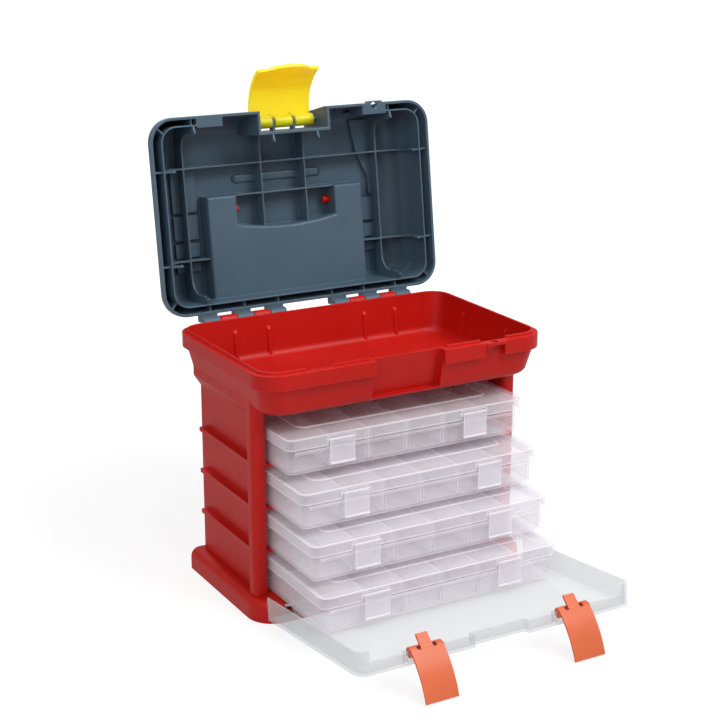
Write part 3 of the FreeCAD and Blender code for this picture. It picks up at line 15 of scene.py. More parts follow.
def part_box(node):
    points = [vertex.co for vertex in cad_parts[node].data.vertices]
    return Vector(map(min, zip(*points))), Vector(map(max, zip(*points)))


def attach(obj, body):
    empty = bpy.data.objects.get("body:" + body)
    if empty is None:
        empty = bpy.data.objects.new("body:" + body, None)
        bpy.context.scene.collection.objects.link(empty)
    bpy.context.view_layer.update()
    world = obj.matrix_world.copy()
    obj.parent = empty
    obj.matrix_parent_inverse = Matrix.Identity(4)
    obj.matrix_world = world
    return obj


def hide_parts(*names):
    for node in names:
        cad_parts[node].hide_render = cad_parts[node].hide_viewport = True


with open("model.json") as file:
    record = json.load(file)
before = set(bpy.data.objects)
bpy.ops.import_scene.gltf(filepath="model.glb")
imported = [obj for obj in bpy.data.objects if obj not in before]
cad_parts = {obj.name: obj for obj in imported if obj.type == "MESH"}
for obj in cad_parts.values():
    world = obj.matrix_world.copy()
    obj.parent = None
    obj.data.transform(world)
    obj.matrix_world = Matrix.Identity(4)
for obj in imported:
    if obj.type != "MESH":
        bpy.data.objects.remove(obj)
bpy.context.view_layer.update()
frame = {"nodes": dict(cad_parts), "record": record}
LOG = logging.getLogger("supply_box")
MM = 0.001
# Corners closer than this are one corner
MERGE = 0.002 * MM
# Edges shorter than this stay sharp
SHORT = 0.4 * MM
# Share of the rounding's radius that a corner may leave the solid by
STRAY = 0.6
# Face attribute that marks the rounded edges
RIM = "rim"
TRAYS = 4
# See-through walls that a ray may cross
WALLS_CROSSED = 40


class Grain(Enum):
    """Surface that the mould gives a piece, as the scale and depth of its grain."""

    SMOOTH = (1800.0, 0.02)
    SATIN = (2600.0, 0.07)


class Slot(Enum):
    """The record's material slots."""

    RED = "red_plastic"
    SLATE = "grey_plastic"
    YELLOW = "yellow_plastic"
    ORANGE = "orange_plastic"
    CLEAR = "clear_plastic"
    STEEL = "steel"


class NodeSheet:
    """A new node material with its Principled shader at hand."""

    def __init__(self, name: str) -> None:
        """Starts the material.

        Args:
            name: Material name.
        """
        self.material = bpy.data.materials.new(name)
        self.material.use_nodes = True
        self.nodes = self.material.node_tree.nodes
        self.links = self.material.node_tree.links
        self.shader = self.nodes["Principled BSDF"]
        self.place = self.nodes.new("ShaderNodeTexCoord").outputs["Object"]

    def set(self, socket: str, value: float | tuple[float, ...]) -> None:
        """Sets a constant on the shader.

        Args:
            socket: Name of the shader's input.
            value: What it is set to.
        """
        self.shader.inputs[socket].default_value = value

    def noise(self, scale: float, detail: float = 3.0) -> bpy.types.NodeSocket:
        """Adds a noise over the piece's own coordinates.

        Args:
            scale: Noise scale per metre.
            detail: Noise octaves.

        Returns:
            The noise value.
        """
        node = self.nodes.new("ShaderNodeTexNoise")
        node.inputs["Scale"].default_value = scale
        node.inputs["Detail"].default_value = detail
        self.links.new(self.place, node.inputs["Vector"])
        return node.outputs["Fac"]

    def spread(self, value: bpy.types.NodeSocket, low: float, high: float,
               start: float = 0.0, end: float = 1.0) -> bpy.types.NodeSocket:
        """Maps a value onto a range.

        Args:
            value: Value to map.
            low: Result at the start.
            high: Result at the end.
            start: Value that gives the low result.
            end: Value that gives the high result.

        Returns:
            The mapped value.
        """
        node = self.nodes.new("ShaderNodeMapRange")
        node.inputs["From Min"].default_value = start
        node.inputs["From Max"].default_value = end
        node.inputs["To Min"].default_value = low
        node.inputs["To Max"].default_value = high
        self.links.new(value, node.inputs["Value"])
        return node.outputs["Result"]

    def blend(self, share: bpy.types.NodeSocket, first: tuple[float, float, float],
              second: tuple[float, float, float]) -> bpy.types.NodeSocket:
        """Goes from one colour to another.

        Args:
            share: Share of the second colour.
            first: Linear colour at share 0.
            second: Linear colour at share 1.

        Returns:
            The blended colour.
        """
        node = self.nodes.new("ShaderNodeMix")
        node.data_type = "RGBA"
        node.inputs["A"].default_value = (*first, 1.0)
        node.inputs["B"].default_value = (*second, 1.0)
        self.links.new(share, node.inputs["Factor"])
        return node.outputs["Result"]

    def rim(self) -> bpy.types.NodeSocket:
        """Reads where a piece's edges are rounded.

        Returns:
            1 on the rounded edges and 0 elsewhere.
        """
        node = self.nodes.new("ShaderNodeAttribute")
        node.attribute_name = RIM
        return node.outputs["Fac"]

    def combine(self, way: str, first: bpy.types.NodeSocket,
                second: bpy.types.NodeSocket) -> bpy.types.NodeSocket:
        """Joins two values into one.

        Args:
            way: Name of the sum, as the Math node calls it.
            first: First value.
            second: Second value.

        Returns:
            The joined value.
        """
        node = self.nodes.new("ShaderNodeMath")
        node.operation = way
        self.links.new(first, node.inputs[0])
        self.links.new(second, node.inputs[1])
        return node.outputs["Value"]

    def drive(self, socket: str, value: bpy.types.NodeSocket) -> None:
        """Links a value to the shader.

        Args:
            socket: Name of the shader's input.
            value: The value.
        """
        self.links.new(value, self.shader.inputs[socket])

    def bump(self, height: bpy.types.NodeSocket, strength: float, depth: float) -> None:
        """Gives the shader a bump.

        Args:
            height: Height of the surface.
            strength: Share of the bump that shows.
            depth: Depth in metres.
        """
        node = self.nodes.new("ShaderNodeBump")
        node.inputs["Strength"].default_value = strength
        node.inputs["Distance"].default_value = depth
        self.links.new(height, node.inputs["Height"])
        self.drive("Normal", node.outputs["Normal"])


@dataclass(frozen=True)
class Moulded:
    """An opaque moulded plastic with fine grain, slow colour drift, a soft gloss, and rounded edges painted
    paler, as a painted highlight and as wear.

    Attributes:
        name: Material name.
        colour: Linear colour of the plastic.
        roughness: Middle roughness.
        grain: Kind of mould surface.
        gloss: Specular level.
        glow: Share of the light that soaks through the thin wall.
        soak: Depth that the light soaks in, in millimetres.
        edge_sheen_and_wear: How much paler the rounded edges are, as a painted highlight along them and as
            wear.
        least_sheen_and_wear: Share of that paleness where the scuff noise gives least.
        edge_white: White that the paler edges add.
        deepest: Share of the colour where it is deepest.
        drift: Most of the paler colour away from the edges.
        drift_scale: Scale of the colour's slow drift, per metre.
        scuff_scale: Scale of the scuffs, per metre.
        scuff_detail: Octaves of the scuffs.
        band: Noise values that count as least and as most.
        sway: How far the roughness falls and rises.
        grain_detail: Octaves of the grain.
        grain_depth: Depth of the grain, in millimetres.
    """

    name: str
    colour: tuple[float, float, float]
    roughness: float = 0.38
    grain: Grain = Grain.SATIN
    gloss: float = 0.25
    glow: float = 0.0
    soak: float = 4.0
    edge_sheen_and_wear: float = 0.35
    least_sheen_and_wear: float = 0.3
    edge_white: float = 0.01
    deepest: float = 0.94
    drift: float = 0.3
    drift_scale: float = 14.0
    scuff_scale: float = 90.0
    scuff_detail: float = 4.0
    band: tuple[float, float] = (0.3, 0.7)
    sway: tuple[float, float] = (-0.06, 0.08)
    grain_detail: float = 2.0
    grain_depth: float = 0.2

    def build(self) -> bpy.types.Material:
        """Makes the node material.

        Returns:
            The finished material.
        """
        sheet = NodeSheet(self.name)
        sheet.set("Specular IOR Level", self.gloss)
        sheet.set("Subsurface Weight", self.glow)
        sheet.set("Subsurface Radius", self.colour)
        sheet.set("Subsurface Scale", self.soak * MM)
        deep = tuple(c * self.deepest for c in self.colour)
        pale = tuple(min(c * (1.0 + self.edge_sheen_and_wear) + self.edge_white, 1.0) for c in self.colour)
        scuff = sheet.noise(self.scuff_scale, self.scuff_detail)
        drift = sheet.spread(sheet.noise(self.drift_scale), 0.0, self.drift, *self.band)
        # Painted highlight and wear: the rounded edges get a paler colour, broken up by the scuff noise
        sheen_and_wear_share = sheet.combine("MULTIPLY", sheet.rim(), sheet.spread(scuff, self.least_sheen_and_wear, 1.0, *self.band))
        sheet.drive("Base Color", sheet.blend(sheet.combine("MAXIMUM", drift, sheen_and_wear_share), deep, pale))
        sheet.drive("Roughness", sheet.spread(scuff, *(self.roughness + step for step in self.sway)))
        scale, strength = self.grain.value
        sheet.bump(sheet.noise(scale, self.grain_detail), strength, self.grain_depth * MM)
        return sheet.material


@dataclass(frozen=True)
class Clear:
    """A milky see-through plastic: thin where seen straight on, denser at grazing angles, with a painted
    highlight of white haze along its rounded edges.

    Attributes:
        name: Material name.
        colour: Linear colour of its haze.
        tint: Linear colour that each surface lets through.
        thin: Haze seen straight on.
        dense: Haze at grazing angles.
        edge_highlight: Painted highlight: white haze on the rounded edges, where they would catch the light.
        roughness: Middle roughness.
        sway: How far the roughness falls and rises.
        cloud_scale: Scale of its cloudiness, per metre.
        turn: How soon the haze thickens as the surface turns away.
        ior: Index of refraction.
    """

    name: str
    colour: tuple[float, float, float]
    tint: tuple[float, float, float]
    thin: float = 0.06
    dense: float = 0.5
    edge_highlight: float = 0.5
    roughness: float = 0.2
    sway: tuple[float, float] = (-0.06, 0.1)
    cloud_scale: float = 40.0
    turn: float = 0.3
    ior: float = 1.49

    def build(self) -> bpy.types.Material:
        """Makes the node material.

        Returns:
            The finished material.
        """
        sheet = NodeSheet(self.name)
        sheet.set("Base Color", (*self.colour, 1.0))
        sheet.set("IOR", self.ior)
        cloud = sheet.noise(self.cloud_scale)
        sheet.drive("Roughness", sheet.spread(cloud, *(self.roughness + step for step in self.sway)))
        facing = sheet.nodes.new("ShaderNodeLayerWeight")
        facing.inputs["Blend"].default_value = self.turn
        see_through = sheet.nodes.new("ShaderNodeBsdfTransparent")
        see_through.inputs["Color"].default_value = (*self.tint, 1.0)
        haze = sheet.nodes.new("ShaderNodeMixShader")
        flat = sheet.spread(facing.outputs["Facing"], self.thin, self.dense)
        # Painted highlight: the rounded edges get more white haze than their angle alone gives
        edges = sheet.spread(sheet.rim(), 0.0, self.edge_highlight)
        sheet.links.new(sheet.combine("MAXIMUM", flat, edges), haze.inputs["Fac"])
        sheet.links.new(see_through.outputs["BSDF"], haze.inputs[1])
        sheet.links.new(sheet.shader.outputs["BSDF"], haze.inputs[2])
        sheet.links.new(haze.outputs["Shader"], sheet.nodes["Material Output"].inputs["Surface"])
        return sheet.material


@dataclass(frozen=True)
class Metal:
    """Plain drawn steel.

    Attributes:
        name: Material name.
        colour: Linear colour.
        darkest: Share of the colour where it is darkest.
        tone_scale: Scale of its tones, per metre.
        scratch_scale: Scale of its scratches, per metre.
        roughness: Least and most roughness.
    """

    name: str
    colour: tuple[float, float, float]
    darkest: float = 0.85
    tone_scale: float = 220.0
    scratch_scale: float = 400.0
    roughness: tuple[float, float] = (0.25, 0.45)

    def build(self) -> bpy.types.Material:
        """Makes the node material.

        Returns:
            The finished material.
        """
        sheet = NodeSheet(self.name)
        sheet.set("Metallic", 1.0)
        dark = tuple(c * self.darkest for c in self.colour)
        sheet.drive("Base Color", sheet.blend(sheet.noise(self.tone_scale), dark, self.colour))
        sheet.drive("Roughness", sheet.spread(sheet.noise(self.scratch_scale), *self.roughness))
        return sheet.material


class Palette:
    """The finishes of the box, built once."""

    def __init__(self) -> None:
        """Makes every finish."""
        self.frosted = Clear("frosted_front", colour=(0.86, 0.87, 0.89), tint=(0.9, 0.905, 0.91),
                             thin=0.14, dense=0.4, edge_highlight=0.3).build()
        self.clips = Clear("clip_plastic", colour=(0.98, 0.96, 1.0), tint=(0.99, 0.985, 0.995),
                           thin=0.22, dense=0.55).build()
        self.finishes: dict[Slot, bpy.types.Material] = {
            Slot.RED: Moulded("red_moulding", (0.46, 0.005, 0.002), roughness=0.4, gloss=0.22).build(),
            Slot.SLATE: Moulded("slate_moulding", (0.060, 0.102, 0.142), roughness=0.42, gloss=0.35).build(),
            Slot.YELLOW: Moulded("yellow_moulding", (1.0, 0.66, 0.02), roughness=0.32, grain=Grain.SMOOTH,
                                 glow=1.0, soak=14.0).build(),
            Slot.ORANGE: Moulded("orange_moulding", (0.64, 0.135, 0.055), roughness=0.32,
                                 grain=Grain.SMOOTH).build(),
            Slot.CLEAR: Clear("milky_clear", colour=(0.98, 0.955, 1.0), tint=(0.996, 0.993, 0.997),
                              thin=0.12).build(),
            Slot.STEEL: Metal("drawn_steel", (0.6, 0.6, 0.62)).build(),
        }

    def finish(self, slot: Slot) -> bpy.types.Material:
        """Gives the finish of a slot."""
        return self.finishes[slot]


@dataclass
class Assembly:
    """What every sub-assembly shares: its finishes, and how a moulding gets its rounded edges.

    Attributes:
        palette: The finishes.
        edge: Radius of the rounded edges, in millimetres.
        steel_edge: The same on screws and pins.
        steps: Faces across a rounded edge.
        sharp: Least angle of an edge that gets rounded, in degrees.
        flat: Angle up to which two faces are one, in degrees.
    """

    palette: Palette
    edge: float = 0.5
    steel_edge: float = 0.25
    steps: int = 2
    sharp: float = 30.0
    flat: float = 0.5

    def moulding(self, node: str, edge: float = 0.0) -> bpy.types.Object:
        """Copies a CAD solid and rounds its sharp edges, as a mould leaves them.

        Args:
            node: The CAD node.
            edge: Radius of the rounded edges in millimetres, where it isn't the assembly's own.

        Returns:
            The rounded piece.
        """
        shape = bmesh.new()
        shape.from_mesh(frame["nodes"][node].data)
        rim = shape.faces.layers.float.new(RIM)
        bmesh.ops.remove_doubles(shape, verts=shape.verts, dist=MERGE)
        bmesh.ops.dissolve_limit(shape, angle_limit=math.radians(self.flat), verts=shape.verts,
                                 edges=shape.edges)
        bmesh.ops.triangulate(shape, faces=[f for f in shape.faces if len(f.verts) > 4])
        surface = BVHTree.FromBMesh(shape)
        radius = (edge or self.edge) * MM
        creases = [e for e in shape.edges
                   if e.calc_face_angle(0.0) > math.radians(self.sharp) and e.calc_length() > SHORT]
        rounded = bmesh.ops.bevel(shape, geom=creases, offset=radius, offset_type="OFFSET",
                                  segments=self.steps, profile=0.5, affect="EDGES", material=-1)
        for face in rounded["faces"]:
            face[rim] = 1.0

        # A corner that the rounding throws out goes back onto the solid's own surface
        low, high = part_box(node)
        for vert in shape.verts:
            seat, _, _, distance = surface.find_nearest(vert.co)
            if distance > STRAY * radius:
                vert.co = seat
            vert.co = [min(max(place, least), most) for place, least, most in zip(vert.co, low, high)]
        return self.piece(node + "_moulding", shape)

    def piece(self, name: str, shape: bmesh.types.BMesh) -> bpy.types.Object:
        """Turns a finished shape into a smooth-shaded object at the origin.

        Args:
            name: Object name.
            shape: The finished shape, which is freed.

        Returns:
            The object.
        """
        for face in shape.faces:
            face.smooth = True
        for edge in shape.edges:
            edge.smooth = edge.calc_face_angle(0.0) < math.radians(self.sharp)
        mesh = bpy.data.meshes.new(name)
        shape.to_mesh(mesh)
        shape.free()
        made = bpy.data.objects.new(name, mesh)
        bpy.context.scene.collection.objects.link(made)
        made.modifiers.new("face_weighted_normals", "WEIGHTED_NORMAL").keep_sharp = True
        return made

    def settle(self, made: bpy.types.Object, body: str, slot: Slot, *nodes: str,
               finish: bpy.types.Material | None = None) -> None:
        """Dresses a piece and gives it to a body.

        Args:
            made: The piece.
            body: The body that it moves with.
            slot: The material slot it belongs to.
            nodes: CAD nodes that it stands for.
            finish: Its finish, where it isn't the slot's own.
        """
        made.data.materials.clear()
        made.data.materials.append(finish or self.palette.finish(slot))
        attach(made, body)
        if nodes:
            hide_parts(*nodes)
        LOG.info("%s rides on %s", made.name, body)


@dataclass
class Cabinet(Assembly):
    """Base, side and back panels, top bin, and the screws and pins that hold them."""

    def build(self) -> None:
        """Makes and dresses the cabinet."""
        for node in ("top_bin", "side_panel_left", "side_panel_right", "back_panel", "base_plate"):
            self.settle(self.moulding(node), "cabinet", Slot.RED, node)
        for node in ("bin_screws", "base_screws", "lid_hinge_pins", "door_hinge_pin"):
            self.settle(self.moulding(node, self.steel_edge), "cabinet", Slot.STEEL, node)


@dataclass
class Lid(Assembly):
    """The lid shell with its latch, latch pin and carry handle.

    The lid's own details are laid out on the shut lid, in millimetres, and then turned with it.

    Attributes:
        handle_edge: Radius of the carry handle's rounded edges.
        seam: Height of the lid's lower edge.
        ceiling: Height of the ceiling inside.
        lip_half: Half the width between the inner lips.
        lip_reach: Half the depth between the inner lips.
        notch_wall: Inner face of the latch notch's back wall.
        cross_rib: Place of the rib across the front half.
        back_rib: Place of the short ribs at the back.
        side_rib: Place of the ribs near the ends.
        upright_rib: Place of the ribs behind the notch.
        end_fin: Length of a locating fin at the lid's ends, inwards from the lip.
        edge_fin: Length of a locating fin at the lid's front and back edges.
        fin_proud: How far a fin stands out of the lid.
        fin_root: How deep a fin is rooted in the lid.
        fin_thick: Thickness of a fin.
        bead: Radius of the bead at a fin's tip.
        bead_sides: Faces round a bead.
        bead_rings: Rings of faces along a bead.
        pad_proud: How far the ceiling's pads stand proud.
        pad_half: Outer edge of the pads.
        pad_inner: Inner edge of the plain pads.
        pad_rows: Front and back edge of each plain pad.
        slant: Inner edge of the slanted pad, from front to back.
        bar_half: Half the length of the low bar across the ceiling, between its round ends.
        bar_width: Width of the bar.
        bar_proud: How far the bar stands proud.
        bar_soft: Share of that height that its edges are rounded by.
        bar_place: Place of the bar.
        bar_steps: Sides of its outline, which leave none at the middle of its length.
    """

    handle_edge: float = 1.0
    seam: float = 222.8
    ceiling: float = 269.3
    lip_half: float = 129.5
    lip_reach: float = 78.7
    notch_wall: float = -66.2
    cross_rib: float = -41.0
    back_rib: float = 42.0
    side_rib: float = 99.5
    upright_rib: float = 22.5
    end_fin: float = 9.0
    edge_fin: float = 6.0
    fin_proud: float = 2.5
    fin_root: float = 4.0
    fin_thick: float = 1.5
    bead: float = 1.6
    bead_sides: int = 12
    bead_rings: int = 8
    pad_proud: float = 4.0
    pad_half: float = 108.0
    pad_inner: float = 84.0
    pad_rows: tuple[tuple[float, float], ...] = ((-43.0, -1.0), (2.0, 24.0), (27.0, 40.0), (45.0, 53.0))
    slant: tuple[tuple[float, float], ...] = ((79.0, -72.0), (84.0, -43.0), (95.5, -17.0), (95.5, -1.0))
    bar_half: float = 42.0
    bar_width: float = 8.0
    bar_proud: float = 2.6
    bar_soft: float = 0.9
    bar_place: float = -27.0
    bar_steps: int = 22

    def build(self) -> None:
        """Makes and dresses the lid."""
        self.settle(self.moulding("lid_shell"), "lid", Slot.SLATE, "lid_shell")
        self.settle(self.moulding("lid_latch_pin", self.steel_edge), "lid", Slot.STEEL, "lid_latch_pin")
        self.settle(self.moulding("lid_latch"), "lid_latch", Slot.YELLOW, "lid_latch")
        handle = self.moulding("carry_handle", self.handle_edge)
        self.settle(handle, "carry_handle", Slot.RED, "carry_handle")
        self.locating_fins()
        self.ceiling_pads()
        self.ceiling_bar()

    def opened(self) -> Matrix:
        """Works out how the lid has turned.

        Returns:
            The turn from the shut lid to the lid at rest.
        """
        hinge = next(j for j in frame["record"]["behaviour"]["joints"] if j["name"] == "lid_hinge")
        place = Matrix.Translation(Vector(hinge["pos_m"]))
        turn = Matrix.Rotation(math.radians(-hinge["range_deg"][0]), 4, Vector(hinge["axis"]))
        return place @ turn @ place.inverted()

    def plate(self, shape: bmesh.types.BMesh, outline: list[tuple[float, float]],
              thick: float) -> list[bmesh.types.BMVert]:
        """Adds a plate from its outline in X and Y.

        Args:
            shape: Shape that gets the plate.
            outline: Corners in millimetres, counterclockwise.
            thick: Thickness upwards in millimetres.

        Returns:
            The plate's vertices.
        """
        corners = [shape.verts.new((x * MM, y * MM, 0.0)) for x, y in outline]
        shape.faces.new(corners)
        return self.thicken(shape, corners, thick)

    def thicken(self, shape: bmesh.types.BMesh, corners: list[bmesh.types.BMVert],
                thick: float) -> list[bmesh.types.BMVert]:
        """Raises a flat face into a plate.

        Args:
            shape: Shape that holds the face.
            corners: Vertices of the face.
            thick: Thickness upwards in millimetres.

        Returns:
            The plate's vertices.
        """
        base = corners[0].link_faces[0]
        raised = bmesh.ops.extrude_face_region(shape, geom=[base], use_keep_orig=True)
        top = [item for item in raised["geom"] if isinstance(item, bmesh.types.BMVert)]
        bmesh.ops.translate(shape, vec=(0.0, 0.0, thick * MM), verts=top)
        bmesh.ops.recalc_face_normals(shape, faces=list({f for v in corners + top for f in v.link_faces}))
        return corners + top

    def soften(self, shape: bmesh.types.BMesh, verts: list[bmesh.types.BMVert], radius: float) -> None:
        """Rounds the edges of one part of a shape.

        Args:
            shape: The shape.
            verts: Vertices of the part.
            radius: Radius in millimetres.
        """
        edges = list({edge for vert in verts for edge in vert.link_edges})
        bmesh.ops.bevel(shape, geom=edges, offset=radius * MM, offset_type="OFFSET", segments=self.steps,
                        profile=0.5, affect="EDGES", material=-1)

    def locating_fins(self) -> None:
        """Adds the fins that guide the lid into the bin, one at each end of the ribs."""
        shape = bmesh.new()
        stand = (Matrix.Translation((0.0, self.fin_thick * MM / 2, 0.0))
                 @ Matrix.Rotation(math.radians(90.0), 4, "X") @ Matrix.Scale(-1.0, 4, (0.0, 1.0, 0.0)))
        ends = []
        for y in (self.cross_rib, self.back_rib):
            ends += [(-self.lip_half, y, 0.0, self.end_fin), (self.lip_half, y, 180.0, self.end_fin)]
        for x in (-self.side_rib, self.side_rib):
            ends += [(x, -self.lip_reach, 90.0, self.edge_fin), (x, self.lip_reach, -90.0, self.edge_fin)]
        for x in (-self.upright_rib, self.upright_rib):
            ends.append((x, self.notch_wall, 90.0, self.edge_fin))
        for x, y, heading, length in ends:
            outline = [(0.0, -self.fin_root), (length, -self.fin_root), (length, self.fin_proud),
                       (0.0, 0.0)]
            fin = self.plate(shape, outline, self.fin_thick)
            tip = Matrix.Translation(Vector((length - self.bead, self.fin_proud - self.bead,
                                             self.fin_thick / 2)) * MM)
            bead = bmesh.ops.create_uvsphere(shape, u_segments=self.bead_sides, v_segments=self.bead_rings,
                                             radius=self.bead * MM, matrix=tip)["verts"]
            place = (Matrix.Translation(Vector((x, y, self.seam)) * MM)
                     @ Matrix.Rotation(math.radians(heading), 4, "Z") @ stand)
            bmesh.ops.transform(shape, matrix=place, verts=fin + bead)
        bmesh.ops.recalc_face_normals(shape, faces=shape.faces)
        bmesh.ops.transform(shape, matrix=self.opened(), verts=shape.verts)
        self.settle(self.piece("locating_fins", shape), "lid", Slot.SLATE)

    def ceiling_pads(self) -> None:
        """Adds the low pads on the ceiling beside the handle recess."""
        shape = bmesh.new()
        front, back = self.slant[0][1], self.slant[-1][1]
        slant = [self.slant[0], (self.pad_half, front), (self.pad_half, back), *reversed(self.slant[1:])]
        plain = [[(self.pad_inner, near), (self.pad_half, near), (self.pad_half, far), (self.pad_inner, far)]
                 for near, far in self.pad_rows]
        mirrored = [[(-x, y) for x, y in reversed(outline)] for outline in plain]
        for outline in [slant] + plain[1:] + mirrored:
            pad = self.plate(shape, outline, self.pad_proud + self.edge)
            self.soften(shape, pad, self.edge)
        place = Vector((0.0, 0.0, self.ceiling - self.pad_proud)) * MM
        bmesh.ops.translate(shape, vec=place, verts=shape.verts)
        bmesh.ops.transform(shape, matrix=self.opened(), verts=shape.verts)
        self.settle(self.piece("ceiling_pads", shape), "lid", Slot.SLATE)

    def ceiling_bar(self) -> None:
        """Adds the low round-ended bar across the ceiling."""
        shape = bmesh.new()
        corners = bmesh.ops.create_circle(shape, cap_ends=True, segments=self.bar_steps,
                                          radius=self.bar_width / 2 * MM)["verts"]
        for corner in corners:
            corner.co.x += math.copysign(self.bar_half * MM, corner.co.x)
        bar = self.thicken(shape, corners, 2 * self.bar_proud)
        self.soften(shape, bar, self.bar_proud * self.bar_soft)
        place = Vector((0.0, self.bar_place, self.ceiling - self.bar_proud)) * MM
        bmesh.ops.translate(shape, vec=place, verts=shape.verts)
        bmesh.ops.transform(shape, matrix=self.opened(), verts=shape.verts)
        self.settle(self.piece("ceiling_bar", shape), "lid", Slot.SLATE)


@dataclass
class DropFront(Assembly):
    """The clear front and its two latches."""

    def build(self) -> None:
        """Makes and dresses the drop front."""
        self.settle(self.moulding("front_door"), "front_door", Slot.CLEAR, "front_door",
                    finish=self.palette.frosted)
        for node in ("door_latch_left", "door_latch_right"):
            self.settle(self.moulding(node), node, Slot.ORANGE, node)


@dataclass
class Tray(Assembly):
    """One clear organizer tray.

    Attributes:
        number: Place in the stack, from the top.
        divider_edge: Radius of the dividers' rounded edges, in millimetres.
    """

    number: int = 1
    divider_edge: float = 0.3

    def build(self) -> None:
        """Makes and dresses the tray."""
        name = f"tray_{self.number}"
        for part, body in (("box", name), ("dividers", name), ("lid", f"{name}_lid"),
                           ("latch_left", f"{name}_latch_left"), ("latch_right", f"{name}_latch_right")):
            node = f"{name}_{part}"
            made = self.moulding(node, self.divider_edge if part == "dividers" else 0.0)
            finish = self.palette.clips if part.startswith("latch") else None
            self.settle(made, body, Slot.CLEAR, node, finish=finish)


@dataclass(frozen=True)
class Lamp:
    """A square soft light.

    Attributes:
        name: Object name.
        place: Where it hangs, in metres.
        aim: Point that it shines at, in metres.
        size: Side of the square, in metres.
        power: Power in watts.
        spread: Angle that it shines into, in degrees.
    """

    name: str
    place: tuple[float, float, float]
    aim: tuple[float, float, float]
    size: float
    power: float
    spread: float = 180.0

    def hang(self) -> None:
        """Makes the light."""
        data = bpy.data.lights.new(self.name, "AREA")
        data.energy = self.power
        data.size = self.size
        data.spread = math.radians(self.spread)
        lamp = bpy.data.objects.new(self.name, data)
        lamp.location = self.place
        lamp.rotation_euler = (Vector(self.aim) - Vector(self.place)).to_track_quat("-Z", "Y").to_euler()
        bpy.context.scene.collection.objects.link(lamp)


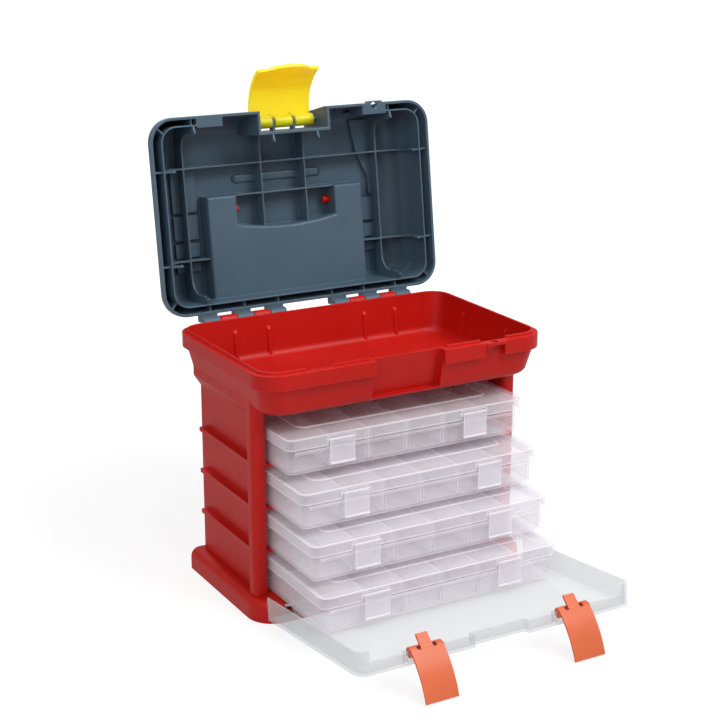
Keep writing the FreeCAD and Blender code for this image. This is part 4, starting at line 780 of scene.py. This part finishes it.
@dataclass
class Studio:
    """Floor, lights and camera.

    Attributes:
        eye: Camera place.
        yaw: Camera heading to the right of +Y, in degrees.
        pitch: Camera angle below level, in degrees.
        roll: Camera roll, in degrees.
        lens: Focal length, in millimetres.
        sensor: Width of the sensor, in millimetres.
        clip: Nearest distance that the camera sees, in metres.
        floor_half: Half the floor's side, in metres.
        floor_tones: Darkest and lightest grey of the floor.
        floor_scale: Scale of the floor's tones, per metre.
        floor_roughness: Roughness of the floor.
        surround: Strength of the white surround as a light.
        near_glow: Light that the floor itself shows beside the box, where its shade falls.
        far_glow: Light that it shows farther off, so that it stays pale to the horizon.
        near: Distance at which the floor starts to pale, in metres.
        far: Distance at which it is palest.
        floor_light: Light that the floor throws back onto the box.
        lamps: The lights.
    """

    eye: tuple[float, float, float] = (-0.6638, -1.1676, 0.6016)
    yaw: float = 29.62
    pitch: float = 16.82
    roll: float = 0.08
    lens: float = 80.0
    sensor: float = 36.0
    clip: float = 0.01
    floor_half: float = 15.0
    floor_tones: tuple[float, float] = (0.25, 0.27)
    floor_scale: float = 3.0
    floor_roughness: float = 0.8
    surround: float = 0.4
    near_glow: float = 0.77
    far_glow: float = 1.0
    near: float = 0.3
    far: float = 1.0
    floor_light: float = 0.4
    lamps: tuple[Lamp, ...] = (
        Lamp("key", place=(0.8, -1.35, 1.9), aim=(0.0, 0.0, 0.2), size=1.0, power=31.0),
        Lamp("fill", place=(-1.6, -1.2, 1.2), aim=(0.0, 0.0, 0.2), size=1.2, power=12.0),
        Lamp("top", place=(0.0, -0.2, 2.0), aim=(0.0, 0.0, 0.2), size=1.4, power=15.0),
        Lamp("back", place=(0.0, 0.8, 1.0), aim=(0.0, 0.13, 0.42), size=0.2, power=0.3, spread=40.0),
    )

    def camera(self) -> None:
        """Sets the camera where the photograph was taken from."""
        data = bpy.data.cameras.new("camera")
        data.lens = self.lens
        data.sensor_width = self.sensor
        data.clip_start = self.clip
        data.dof.use_dof = False
        camera = bpy.data.objects.new("camera", data)
        turn = Matrix.Rotation(math.radians(-self.yaw), 4, "Z")
        tilt = Matrix.Rotation(math.radians(90.0 - self.pitch), 4, "X")
        spin = Matrix.Rotation(math.radians(self.roll), 4, "Z")
        camera.matrix_world = Matrix.Translation(Vector(self.eye)) @ turn @ tilt @ spin
        bpy.context.scene.collection.objects.link(camera)
        bpy.context.scene.camera = camera

    def floor(self) -> None:
        """Lays a plain pale floor."""
        shape = bmesh.new()
        bmesh.ops.create_grid(shape, x_segments=1, y_segments=1, size=self.floor_half)
        mesh = bpy.data.meshes.new("floor")
        shape.to_mesh(mesh)
        shape.free()
        plane = bpy.data.objects.new("floor", mesh)
        bpy.context.scene.collection.objects.link(plane)
        sheet = NodeSheet("pale_floor")
        sheet.set("Specular IOR Level", 0.0)
        dark, light = ((tone, tone, tone) for tone in self.floor_tones)
        sheet.drive("Base Color", sheet.blend(sheet.noise(self.floor_scale), dark, light))
        sheet.set("Roughness", self.floor_roughness)
        sheet.set("Emission Color", (1.0, 1.0, 1.0, 1.0))
        rays = sheet.nodes.new("ShaderNodeLightPath")
        away = sheet.nodes.new("ShaderNodeVectorMath")
        away.operation = "LENGTH"
        sheet.links.new(sheet.place, away.inputs[0])
        glow = sheet.spread(away.outputs["Value"], self.near_glow, self.far_glow, self.near, self.far)
        unseen = sheet.spread(rays.outputs["Is Camera Ray"], self.floor_light, 0.0)
        seen = sheet.combine("MULTIPLY", rays.outputs["Is Camera Ray"], glow)
        sheet.drive("Emission Strength", sheet.combine("ADD", seen, unseen))
        mesh.materials.append(sheet.material)

    def lights(self) -> None:
        """Hangs soft lights and a white surround that is dimmer as a light than it looks."""
        world = bpy.data.worlds.new("surround")
        world.use_nodes = True
        nodes = world.node_tree.nodes
        links = world.node_tree.links
        glow = nodes["Background"]
        glow.inputs["Color"].default_value = (1.0, 1.0, 1.0, 1.0)
        rays = nodes.new("ShaderNodeLightPath")
        level = nodes.new("ShaderNodeMapRange")
        level.inputs["To Min"].default_value = self.surround
        level.inputs["To Max"].default_value = 1.0
        links.new(rays.outputs["Is Camera Ray"], level.inputs["Value"])
        links.new(level.outputs["Result"], glow.inputs["Strength"])
        bpy.context.scene.world = world
        for lamp in self.lamps:
            lamp.hang()


def main() -> None:
    """Builds the sub-assemblies in order and sets the studio."""
    logging.basicConfig(level=logging.INFO)
    palette = Palette()
    Cabinet(palette).build()
    Lid(palette).build()
    DropFront(palette).build()
    for number in range(1, TRAYS + 1):
        Tray(palette, number=number).build()
    studio = Studio()
    studio.floor()
    studio.lights()
    studio.camera()
    scene = bpy.context.scene
    scene.view_settings.view_transform = "Standard"
    scene.cycles.transparent_max_bounces = WALLS_CROSSED


if __name__ == "__main__":
    main()
